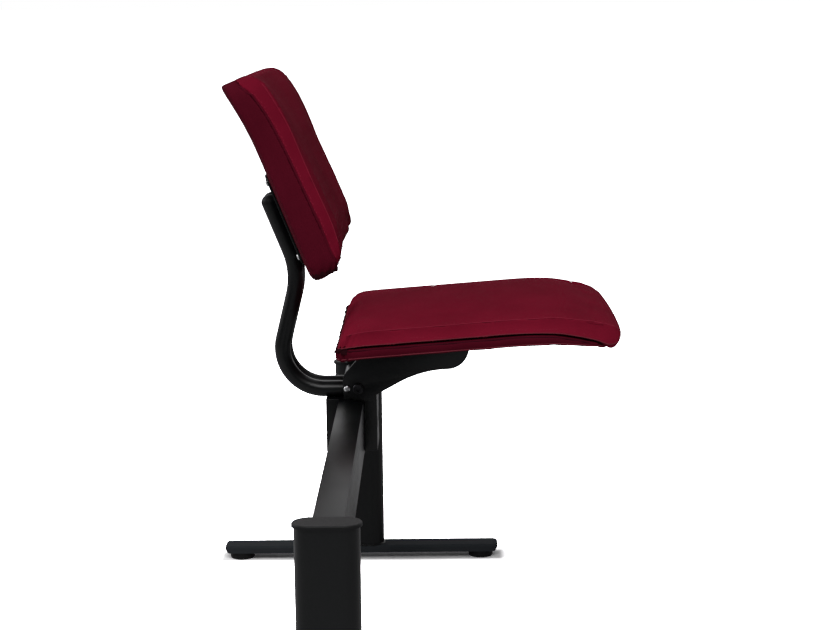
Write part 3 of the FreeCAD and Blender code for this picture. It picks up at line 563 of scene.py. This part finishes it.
def seat_form(place, normal):
    """Hollow the seat's side bands, tuck its rear edge in, lower its front shoulder and undercut its nose."""
    shift = seat_gathers(place, normal)
    band = share(abs(place.x - SEAT_X), SEAT_HALF - SEAT_BAND, SEAT_HALF)
    shift -= normal * BAND_HOLLOW * 4 * band * (1 - band)
    behind = SEAT_REAR - place.y
    shift -= normal * REAR_TUCK * fade(behind, 0.030) * min(1.0, max(0.0, normal.y + normal.z))
    before = max(0.0, place.y - NOSE.y)
    height = place.z - NOSE.z
    low = 1 - share(height, 0.000, 0.011)
    shift.y -= NOSE_FORWARD * fade(before, 0.030) * share(height, 0.006, 0.014)
    shift.y += NOSE_UNDERCUT * fade(before, 0.012) * low
    shift.z -= NOSE_DROP * fade(abs(before - 0.019), 0.022) * low
    shift -= normal * SHOULDER_DROP * fade(abs(before - 0.042), 0.042) * max(0.0, normal.z)
    return shift


def pan_form(place, normal):
    """Let the pan's underside hang a little."""
    return seat_gathers(place, normal) - Vector((0, 0, PAN_HANG)) * max(0.0, -normal.z)


def back_place(place):
    """Give how high a place on the back is above its middle, and how far before its rear face."""
    rise = (place - BACK_MIDDLE).dot(BACK_UP)
    curl = BACK_CURL * share(rise, 0.104, 0.211) ** 2
    return rise, curl - (place - BACK_MIDDLE).dot(BACK_OUT)


def back_corner(place, normal):
    """Round the lower front corner of the back off, more so at its far end, and gather it."""
    rise, depth = back_place(place)
    corner = share(-rise, 0.050, 0.084) ** 2.5 * share(depth, 0.030, 0.060)
    corner *= 0.45 + 0.55 * share(place.x - SEAT_X, -BACK_HALF, BACK_HALF)
    return back_gathers(place, normal) + (BACK_OUT * CORNER_DRAW + BACK_UP * CORNER_RAISE) * corner


def cover_form(place, normal):
    """Bring the top edge of the back's cover up to the cushion's."""
    rise, depth = back_place(place)
    raised = TOP_RAISE * share(rise, 0.195, 0.207) * share(depth, 0.004, 0.012)
    return back_corner(place, normal) + BACK_UP * raised


def back_form(place, normal):
    """Fill the back out near its top, lap it over the cover there and draw its creases and low edge in."""
    rise, depth = back_place(place)
    facing = min(1.0, max(0.0, -1.5 * normal.dot(BACK_OUT)))
    fuller = TOP_FULLER * fade(max(0.0, 0.17 - rise), 0.10) * facing
    lapped = TOP_LAP * share(rise, 0.186, 0.203) * (1 - share(depth, 0.018, 0.036))
    front = share(depth, 0.036, 0.052)
    tucked = LOW_TUCK * fade(abs(rise + 0.046), 0.026) * front
    drawn = CREASE_DRAW * share(abs(place.x - SEAT_X), 0.12, 0.19) ** 2 * front
    return back_corner(place, normal) + BACK_OUT * (tucked + lapped + drawn - fuller)


def cushions():
    seat_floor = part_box("seat_pad")[0].z

    def on_pan(point):
        rise = (SEAT_REAR - point.y) * math.tan(SEAT_TILT)
        aside = abs(point.x - SEAT_X)
        return point.z < seat_floor + rise + 0.002 or aside > SEAT_HALF - SEAT_BAND - 0.0005

    def on_shell(point):
        return (point - BACK_MIDDLE).dot(BACK_OUT) > -0.042 or abs(point.x - SEAT_X) > BACK_HALF - 0.0125

    seat = stuffed("seat_pad", "seat_cushion", 0.0006, seat_form, seat_crease, on_pan, 3.5, 0.0045)
    finish(seat, "seat", CLOTH, "red_fabric", "seat_pad")
    pan = stuffed("seat_pan", "seat_underside", 0.0, pan_form)
    finish(pan, "seat", SHADED_COVER_CLOTH, "red_fabric", "seat_pan")
    back = stuffed("back_pad", "back_cushion", 0.0006, back_form, back_crease, on_shell, 4.0, 0.0060)
    finish(back, "frame", SHADED_BACK_CLOTH, "red_fabric", "back_pad")
    cover = stuffed("back_shell", "back_cover", 0.0, cover_form)
    finish(cover, "frame", SHADED_COVER_CLOTH, "red_fabric", "back_shell")
    return seat, pan, back, cover


# Sewing: welts, stitches and gathered hems that lie on the covers


def nearest(covers, point):
    """Give the nearest place on any of the covers and the normal there."""
    best = None
    for cover in covers:
        found, place, normal, face = cover.closest_point_on_mesh(point)
        if best is None or (place - point).length < (best[0] - point).length:
            best = (place.copy(), normal.copy())
    return best


def lay_on(piece, covers, lift):
    """Move a line's points onto the covers."""
    for point in piece.data.vertices:
        place, normal = nearest(covers, point.co)
        point.co = place + normal * lift
    edit_mode(piece, "VERT")
    bpy.ops.mesh.select_all(action="SELECT")
    bpy.ops.mesh.vertices_smooth(factor=0.5, repeat=3)
    object_mode()


def to_tube(piece, radius, sides=2):
    """Turn a line of edges or a curve into a round tube."""
    pick(piece)
    if piece.type == "MESH":
        bpy.ops.object.convert(target="CURVE")
    piece.data.bevel_depth = radius
    piece.data.bevel_resolution = sides
    piece.data.use_fill_caps = True
    bpy.ops.object.convert(target="MESH")
    smooth(piece, 60)
    return piece


def curve_of(name, runs, closed=False):
    """Make a curve object of straight runs through lists of points."""
    data = bpy.data.curves.new(name, "CURVE")
    data.dimensions = "3D"
    for run in runs:
        spline = data.splines.new("POLY")
        spline.points.add(len(run) - 1)
        for point, place in zip(spline.points, run):
            point.co = (*place, 1)
        spline.use_cyclic_u = closed
    piece = bpy.data.objects.new(name, data)
    bpy.context.scene.collection.objects.link(piece)
    return piece


def spaced(points, pitch):
    """Give places at an even pitch along a run of points."""
    places = [points[0]]
    left = pitch
    for start, stop in zip(points, points[1:]):
        length = (stop - start).length
        at = left
        while at < length:
            places.append(start.lerp(stop, at / length))
            at += pitch
        left = at - length
    return places


def stitches(line, covers, name, aside, pitch):
    """Sew short stitches beside a line, a given distance to one side along the cover."""
    pick(line)
    bpy.ops.object.duplicate(linked=False)
    copy = bpy.context.object
    bpy.ops.object.convert(target="CURVE")
    runs = []
    for spline in copy.data.splines:
        places = spaced([Vector(point.co[:3]) for point in spline.points], pitch)
        for start, stop in zip(places, places[1:]):
            middle, normal = nearest(covers, (start + stop) / 2)
            across = normal.cross(stop - start).normalized() * aside
            along = (stop - start) * 0.33
            centre, normal = nearest(covers, middle + across)
            runs.append([centre - along - normal * STITCH, centre + normal * STITCH * 0.7,
                         centre + along - normal * STITCH])
    discard(copy)
    return to_tube(curve_of(name, runs), STITCH, 1)


def hem(points, covers, name, width, flare):
    """Make a gathered hem: a narrow ruffled strip that stands off the covers along a run of points."""
    places = spaced(points, HEM_STEP)
    shape = bmesh.new()
    rows = []
    for i, point in enumerate(places):
        place, normal = nearest(covers, point)
        ahead = places[min(i + 1, len(places) - 1)] - places[max(i - 1, 0)]
        across = normal.cross(ahead).normalized()
        run = i * HEM_STEP
        wave = math.sin(FULL_TURN * run / HEM_PITCH + 2.5 * noise.noise(Vector((run * 40, 2.1, 5.3))))
        high = 0.75 + 0.45 * noise.noise(Vector((run * 90, 8.4, 3.7)))
        row = []
        for j in range(HEM_ROWS):
            part = j / (HEM_ROWS - 1)
            rise = normal * (flare * high * math.sin(math.pi * (0.15 + 0.85 * part)))
            swing = across * (width * (part - 0.5) + wave * flare * 0.5 * part)
            row.append(shape.verts.new(place - normal * 0.0012 + rise + swing))
        rows.append(row)
    for first, second in zip(rows, rows[1:]):
        for j in range(HEM_ROWS - 1):
            shape.faces.new((first[j], first[j + 1], second[j + 1], second[j]))
    mesh = bpy.data.meshes.new(name)
    shape.to_mesh(mesh)
    shape.free()
    piece = bpy.data.objects.new(name, mesh)
    bpy.context.scene.collection.objects.link(piece)
    modify(piece, "SOLIDIFY", thickness=0.0011, offset=0.0)
    smooth(piece, 60)
    return piece


def rounded_run(half, corner, reach):
    """Give plan points round one end of a cushion: along a side, round two corners and back."""
    run = [(-half, reach)]
    for turn in range(0, 91, 15):
        angle = math.radians(turn)
        run.append((-half + corner * (1 - math.cos(angle)), corner * (1 - math.sin(angle))))
    return run + [(-across, forward) for across, forward in run[::-1]]


def sewn_line(node, name, test, covers, lift, radius, body, material):
    """Lay the edges of a node that a test picks on its covers as a thin cord."""
    line = line_of_node(node, name, test)
    lay_on(line, covers, lift)
    finish(to_tube(line, radius), body, material, "red_fabric")


def sewing(seat, pan, back, cover):
    def seat_seam(a, b):
        return a.z < -0.7 and b.z > -0.6

    def back_seam(a, b):
        return a.dot(BACK_OUT) > 0.7 and b.dot(BACK_OUT) < 0.6

    def pan_edge(a, b):
        return a.z < -0.7 and abs(b.z) < 0.6

    def at_nose(point):
        return point.co.y < NOSE.y + 0.040

    line = line_of_node("seat_pad", "seat_welt", seat_seam)
    choose(line, "VERT", at_nose)
    bpy.ops.mesh.delete(type="VERT")
    object_mode()
    lay_on(line, (seat, pan), -0.0004)
    sewn = stitches(line, (seat,), "seat_stitches", 0.006, STITCH_PITCH)
    finish(sewn, "seat", THREAD, "red_fabric")
    # The welt's dark colour is painted shade in the seam's groove.
    finish(to_tube(line, 0.0010), "seat", SEAM_SHADE, "red_fabric")

    # A cord just above the seat's seam; its lighter, greyer colour is a painted sheen highlight.
    line = line_of_node("seat_pad", "seat_piping", seat_seam)
    for point in line.data.vertices:
        point.co.z += 0.0022
    lay_on(line, (seat,), 0.0002)
    finish(to_tube(line, 0.0007), "seat", SHEEN_PIPING, "red_fabric")

    # Painted highlight: a lighter cord along the seat's crease, where light catches the fold; the crease has
    # no thread.
    sewn_line("seat_pad", "seat_crease_painted_highlight", seat_crease, (seat,), 0.0001, 0.0006, "seat", THREAD)
    # A cord along the pan's lower edge, coloured as a painted highlight on that rounded edge.
    sewn_line("seat_pan", "pan_piping", pan_edge, (pan,), 0.0001, 0.0008, "seat", SHEEN_PIPING)

    line = line_of_node("back_pad", "back_welt", back_seam)
    lay_on(line, (back, cover), -0.0006)
    sewn = stitches(line, (back, cover), "back_stitches", 0.0045, STITCH_PITCH)
    finish(sewn, "frame", THREAD, "red_fabric")
    finish(to_tube(line, 0.0018, 3), "frame", SHADED_COVER_CLOTH, "red_fabric")

    sewn_line("back_pad", "back_crease_seam", back_crease, (back,), 0.0001, 0.0005, "frame", THREAD)

    rear = []
    for across, forward in rounded_run(SEAT_HALF, 0.013, 0.015):
        rise = forward * math.tan(SEAT_TILT)
        rear.append(Vector((SEAT_X + across, SEAT_REAR - forward, SEAT_SEAM + rise)))
    ruffle = hem(rear, (seat, pan), "seat_hem", 0.006, 0.0034)
    finish(ruffle, "seat", HEM_SHADE, "red_fabric")

    low = []
    hem_half = BACK_HALF - HEM_INSET
    for across, forward in rounded_run(hem_half, 0.014, 0.046):
        depth = -0.060 + forward + 0.014 * (1 - (across / hem_half) ** 8)
        depth += 0.013 * share(across, 0.0, BACK_HALF)
        low.append(BACK_MIDDLE + Vector((across, 0, 0)) + BACK_OUT * depth - BACK_UP * BACK_LOW)
    ruffle = hem(low, (back, cover), "back_hem", 0.007, 0.0042)
    finish(ruffle, "frame", HEM_SHADE, "red_fabric")


# Coated steel: the nodes' own forms with eased edges


def eased(node, name, width):
    """Copy a node, join its flat triangles and ease its sharp edges."""
    piece = copy_of_node(node, name)
    edit_mode(piece, "FACE")
    bpy.ops.mesh.select_all(action="SELECT")
    bpy.ops.mesh.dissolve_limited(angle_limit=math.radians(0.3))
    object_mode()
    modify(piece, "BEVEL", width=width, segments=3, limit_method="ANGLE",
           angle_limit=math.radians(40), use_clamp_overlap=True)
    smooth(piece)
    return piece


def paint(material, *names):
    """Give nodes that are shown as they are their material."""
    for name in names:
        nodes[name].data.materials.clear()
        nodes[name].data.materials.append(material)


def coated_steel():
    for node, body, width in (
        ("beam_tube", "frame", 0.0030),
        ("seat_saddle", "frame", 0.0012),
        ("saddle_clamp", "frame", 0.0015),
        ("back_mount_plate", "frame", 0.0005),
        ("side_plate_near", "seat", 0.0007),
        ("side_plate_far", "seat", 0.0007),
        ("seat_mount_plate", "seat", 0.0006),
    ):
        piece = eased(node, node + "_eased", width)
        finish(piece, body, COAT, "black_frame", node)
    paint(COAT, "leg_column_near", "leg_column_far", "back_tube_near", "back_tube_far")
    paint(LIT_FOOT_COAT, "foot_bar_near", "foot_bar_far")
    paint(PLASTIC, "column_cap_near", "column_cap_far", "foot_glides_near", "foot_glides_far",
          "tube_plugs", "pivot_washers")


def bead(points, name, radius, closed=True):
    """Lay a weld bead along a run of points, its ripples worn soft under the coat."""
    run = spaced(points + points[:1] if closed else points, BEAD_STEP)
    piece = to_tube(curve_of(name, [run], closed), radius)

    def ripple(place, normal):
        wave = noise.noise(place * 420) * 0.35 + noise.noise(place * 160) * 0.3
        return normal * radius * wave

    move_points(piece, ripple)
    return piece


def oval(centre, length, width, steps=10):
    """Give the points of a flat oval that lies level, long in Y."""
    points = []
    radius = width / 2
    for end in (1, -1):
        for step in range(steps + 1):
            angle = math.pi * step / steps
            offset = Vector((math.cos(angle) * radius, math.sin(angle) * radius + (length - width) / 2, 0))
            points.append(centre + offset * end)
    return points


def ring(centre, radius, steps=28):
    """Give the points of a circle that faces along Y."""
    points = []
    for step in range(steps):
        angle = FULL_TURN * step / steps
        points.append(centre + Vector((math.cos(angle) * radius, 0, math.sin(angle) * radius)))
    return points


def welds():
    beads = []
    for sign in (-1, 1):
        face = sign * (LEG_X - 0.0192)
        low = BEAM_TOP - 0.080
        half = 0.0185
        corners = [(-half, low), (half, low), (half, BEAM_TOP), (-half, BEAM_TOP)]
        around = [Vector((face, BEAM_Y + across, height)) for across, height in corners]
        beads.append(bead(around, "beam_weld", 0.0019))
        foot = oval(Vector((sign * LEG_X, BEAM_Y, 0.0232)), 0.077, 0.039)
        beads.append(bead(foot, "foot_weld", 0.0017))
        socket = Vector((SEAT_X + sign * 0.020, 0.0932, BEAM_TOP + 0.0123))
        beads.append(bead(ring(socket, 0.0124), "socket_weld", 0.0013))
        for edge in (-1, 1):
            foot_line = BACK_MIDDLE + BACK_OUT * 0.0046 + Vector((sign * 0.020 + edge * 0.0070, 0, 0))
            run = [foot_line + BACK_UP * (step * 0.002 - 0.030) for step in range(31)]
            beads.append(bead(run, "plate_weld", 0.0014, False))
    finish(join(beads, "frame_welds"), "frame", COAT, "black_frame")


# Fasteners, each modelled along +Z with its seat at the origin and its head above it


def turned(profile, name, steps=36):
    """Turn a profile of (radius, height) points about the Z axis."""
    mesh = bpy.data.meshes.new(name)
    mesh.from_pydata([(r, 0, z) for r, z in profile], [(i, i + 1) for i in range(len(profile) - 1)], [])
    piece = bpy.data.objects.new(name, mesh)
    bpy.context.scene.collection.objects.link(piece)
    edit_mode(piece, "VERT")
    bpy.ops.mesh.select_all(action="SELECT")
    bpy.ops.mesh.spin(steps=steps, angle=FULL_TURN, center=(0, 0, 0), axis=(0, 0, 1))
    bpy.ops.mesh.select_all(action="SELECT")
    bpy.ops.mesh.remove_doubles(threshold=MERGE)
    bpy.ops.mesh.normals_make_consistent(inside=False)
    object_mode()
    return piece


def prism(name, sides, radius, low, high):
    """Make a prism with pointed or flat sides along Z."""
    bpy.ops.mesh.primitive_cylinder_add(vertices=sides, radius=radius, depth=high - low,
                                        location=(0, 0, (low + high) / 2))
    piece = bpy.context.object
    piece.name = name
    settle(piece)
    return piece


def bar(name, length, width, low, high):
    bpy.ops.mesh.primitive_cube_add(size=1, location=(0, 0, (low + high) / 2))
    piece = bpy.context.object
    piece.name = name
    piece.scale = (length, width, high - low)
    settle(piece)
    return piece


def carve(piece, tool, operation="DIFFERENCE"):
    modify(piece, "BOOLEAN", object=tool, operation=operation, solver="EXACT")
    discard(tool)


def socket_screw(head, height, shank, length, key):
    """A socket-headed screw: chamfered head, hexagon socket and a shank with a chamfered end."""
    ease = height * 0.12
    profile = [(0, -length), (shank - 0.0008, -length), (shank, -length + 0.0008), (shank, 0),
               (head - ease * 0.4, 0), (head, ease * 0.4), (head, height - ease), (head - ease, height),
               (0, height)]
    piece = turned(profile, "socket_screw")
    carve(piece, prism("key", 6, key, height * 0.4, height * 2))
    smooth(piece, 30)
    return piece


def cross_screw(head, height, shank, length):
    """A pan-headed screw with a cross recess."""
    profile = [(0, -length), (shank * 0.5, -length), (shank, -length + shank), (shank, 0), (head * 0.97, 0)]
    for turn in range(0, 91, 10):
        angle = math.radians(turn)
        profile.append((head * math.cos(angle) ** 0.6, height * (0.25 + 0.75 * math.sin(angle))))
    profile[-1] = (0, height)
    piece = turned(profile, "cross_screw")
    for size in ((head * 1.15, head * 0.30), (head * 0.30, head * 1.15)):
        carve(piece, bar("recess", size[0], size[1], height * 0.25, height * 2))
    smooth(piece, 30)
    return piece


def hex_nut(radius, height, bore, collar):
    """A hexagon nut with chamfered corners, a lock collar and an open bore."""
    piece = prism("hex_nut", 6, radius, 0, height)
    flat = radius * 0.866
    limit = [(0, 0), (flat, 0), (radius + 0.0002, height * 0.14), (radius + 0.0002, height * 0.72),
             (flat, height * 0.82), (collar, height * 0.84), (collar, height), (0, height)]
    carve(piece, turned(limit, "chamfer"), "INTERSECT")
    carve(piece, prism("bore", 28, bore, -height, 2 * height))
    smooth(piece, 30)
    return piece


def placed_copies(model, name, places, body, material, slot, node):
    """Set copies of a fastener at places with directions, as one piece that stands for a node."""
    copies = [twin(model, direction, place) for direction, place in places]
    discard(model)
    return finish(join(copies, name), body, material, slot, node)


def fasteners():
    near = Vector((-1, 0, 0))
    far = Vector((1, 0, 0))
    front = Vector((0, -1, 0))
    outer = 0.062
    stop = Vector((0, 0.016, 0))
    placed_copies(cross_screw(0.0048, 0.0028, 0.0030, 0.0148), "stop_screw_pair",
                  [(near, PIVOT + near * outer + stop), (far, PIVOT + far * outer + stop)],
                  "seat", ZINC, "bright_zinc", "stop_screws")
    placed_copies(socket_screw(0.0075, 0.0050, 0.0050, 0.1290, 0.0046), "pivot_screw",
                  [(near, PIVOT + near * outer)], "seat", DARK_STEEL, "dark_fasteners", "pivot_bolt")
    placed_copies(hex_nut(0.0085, 0.0050, 0.00505, 0.0066), "pivot_lock_nut",
                  [(far, PIVOT + far * outer)], "seat", DARK_STEEL, "dark_fasteners", "pivot_nut")
    heads = []
    tails = []
    for sign in (-1, 1):
        axis = Vector((SEAT_X + sign * 0.022, BEAM_Y, 0.288))
        heads.append((front, axis + front * 0.030))
        tails.append((-front, axis - front * 0.030))
    placed_copies(socket_screw(0.0080, 0.0076, 0.0050, 0.0664, 0.0046), "clamp_screws", heads,
                  "frame", DARK_STEEL, "dark_fasteners", "clamp_bolts")
    placed_copies(hex_nut(0.0085, 0.0064, 0.00505, 0.0066), "clamp_lock_nuts", tails,
                  "frame", DARK_STEEL, "dark_fasteners", "clamp_nuts")
    plate = BACK_MIDDLE + BACK_OUT * 0.0038
    screws = []
    for across in (-0.044, 0.044):
        for high in (-0.059, 0.059):
            screws.append((BACK_OUT, plate + Vector((across, 0, 0)) + BACK_UP * high))
    placed_copies(cross_screw(0.0055, 0.0033, 0.0030, 0.0160), "back_plate_screws", screws,
                  "frame", ZINC, "bright_zinc", "back_screws")
    down = Vector((0, -math.sin(SEAT_TILT), -math.cos(SEAT_TILT)))
    ahead = Vector((0, -math.cos(SEAT_TILT), math.sin(SEAT_TILT)))
    low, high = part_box("seat_mount_plate")
    middle = Vector((SEAT_X, (low.y + high.y) / 2, (low.z + high.z) / 2)) + down * 0.002
    screws = []
    for across in (-0.037, 0.037):
        for along in (-0.0515, 0.0515):
            screws.append((down, middle + Vector((across, 0, 0)) + ahead * along))
    placed_copies(cross_screw(0.0045, 0.0026, 0.0025, 0.0120), "seat_plate_screws", screws,
                  "seat", DARK_STEEL, "dark_fasteners", "seat_screws")


# Floor, light and camera


def studio_floor():
    """A pale floor that the camera sees as white, but for the shadow under the foot bars."""
    bpy.ops.mesh.primitive_plane_add(size=400, location=(0, 0, 0))
    floor = bpy.context.object
    floor.name = "studio_floor"
    material, tree, shader = new_material("white_floor")
    shader.inputs["Base Color"].default_value = (0.5, 0.5, 0.505, 1)
    shader.inputs["Roughness"].default_value = 0.9
    shader.inputs["Specular IOR Level"].default_value = 0.0
    bright = tree.nodes.new("ShaderNodeBsdfDiffuse")
    place = tree.nodes.new("ShaderNodeTexCoord")
    where = tree.nodes.new("ShaderNodeSeparateXYZ")
    tree.links.new(place.outputs["Object"], where.inputs[0])
    across = math_node(tree, "SUBTRACT", math_node(tree, "ABSOLUTE", where.outputs["X"]), LEG_X)
    along = math_node(tree, "SUBTRACT", where.outputs["Y"], BEAM_Y)
    beside = math_node(tree, "SUBTRACT", math_node(tree, "ABSOLUTE", across), FOOT_HALF.x)
    beyond = math_node(tree, "SUBTRACT", math_node(tree, "ABSOLUTE", along), FOOT_HALF.y)
    level = tree.nodes.new("ShaderNodeMapRange")
    level.inputs["From Max"].default_value = 0.030
    level.inputs["To Min"].default_value = 1.2
    level.inputs["To Max"].default_value = 8.0
    tree.links.new(math_node(tree, "MAXIMUM", beside, beyond), level.inputs["Value"])
    tree.links.new(level.outputs["Result"], bright.inputs["Color"])
    rays = tree.nodes.new("ShaderNodeLightPath")
    blend = tree.nodes.new("ShaderNodeMixShader")
    tree.links.new(rays.outputs["Is Camera Ray"], blend.inputs["Fac"])
    tree.links.new(shader.outputs[0], blend.inputs[1])
    tree.links.new(bright.outputs[0], blend.inputs[2])
    tree.links.new(blend.outputs[0], tree.nodes["Material Output"].inputs["Surface"])
    floor.data.materials.append(material)


def studio_world():
    """A white backdrop behind the object, seen by the camera and mirrored, and a dim room before it."""
    world = bpy.data.worlds.new("studio")
    bpy.context.scene.world = world
    world.use_nodes = True
    tree = world.node_tree
    place = tree.nodes.new("ShaderNodeTexCoord")
    toward = tree.nodes.new("ShaderNodeSeparateXYZ")
    tree.links.new(place.outputs["Generated"], toward.inputs[0])
    sky = tree.nodes.new("ShaderNodeValToRGB")
    sky.color_ramp.elements[0].position = 0.25
    sky.color_ramp.elements[0].color = (0.05, 0.05, 0.053, 1)
    sky.color_ramp.elements[1].position = 0.85
    sky.color_ramp.elements[1].color = (0.95, 0.95, 0.96, 1)
    half = math_node(tree, "MULTIPLY_ADD", toward.outputs["X"], 0.5)
    tree.links.new(half, sky.inputs["Fac"])
    rays = tree.nodes.new("ShaderNodeLightPath")
    mirrored = tree.nodes.new("ShaderNodeMix")
    mirrored.data_type = "RGBA"
    tree.links.new(rays.outputs["Is Glossy Ray"], mirrored.inputs["Factor"])
    mirrored.inputs["A"].default_value = (0.26, 0.26, 0.265, 1)
    tree.links.new(sky.outputs["Color"], mirrored.inputs["B"])
    seen = tree.nodes.new("ShaderNodeMix")
    seen.data_type = "RGBA"
    tree.links.new(rays.outputs["Is Camera Ray"], seen.inputs["Factor"])
    tree.links.new(mirrored.outputs["Result"], seen.inputs["A"])
    seen.inputs["B"].default_value = (1, 1, 1, 1)
    tree.links.new(seen.outputs["Result"], tree.nodes["Background"].inputs["Color"])


def soft_lamp(name, place, target, size, energy):
    bpy.ops.object.light_add(type="AREA", location=place)
    lamp = bpy.context.object
    lamp.name = name
    lamp.data.shape = "RECTANGLE"
    lamp.data.size = size[0]
    lamp.data.size_y = size[1]
    lamp.data.energy = energy
    lamp.rotation_euler = (Vector(target) - Vector(place)).to_track_quat("-Z", "Y").to_euler()


def photo_camera():
    """Stand where the photograph was taken: at the near end of the beam, looking along it and down."""
    bpy.ops.object.camera_add()
    camera = bpy.context.object
    camera.name = "photo_camera"
    pitch = math.radians(9.498)
    yaw = math.radians(0.3984)
    roll = math.radians(-0.6536)
    right = Vector((math.sin(yaw), -math.cos(yaw), 0))
    forward = Vector((math.cos(pitch) * math.cos(yaw), math.cos(pitch) * math.sin(yaw), -math.sin(pitch)))
    up = right.cross(forward)
    level = math.cos(roll) * right + math.sin(roll) * up
    upright = math.cos(roll) * up - math.sin(roll) * right
    turn = Matrix((level, upright, -forward)).transposed()
    camera.matrix_world = Matrix.Translation((-2.5667, -0.0408, 0.9156)) @ turn.to_4x4()
    camera.data.sensor_width = 36
    camera.data.lens = 81.39
    bpy.context.scene.camera = camera


photo_camera()
studio_floor()
studio_world()
soft_lamp("key_window", (-1.95, 0.15, 2.60), (0.2, 0, 0.5), (1.8, 1.8), 69)
soft_lamp("rear_light", (0.2, 2.4, 1.6), (0.2, 0.1, 0.5), (1.6, 1.2), 26)
covers = cushions()
sewing(*covers)
coated_steel()
welds()
fasteners()
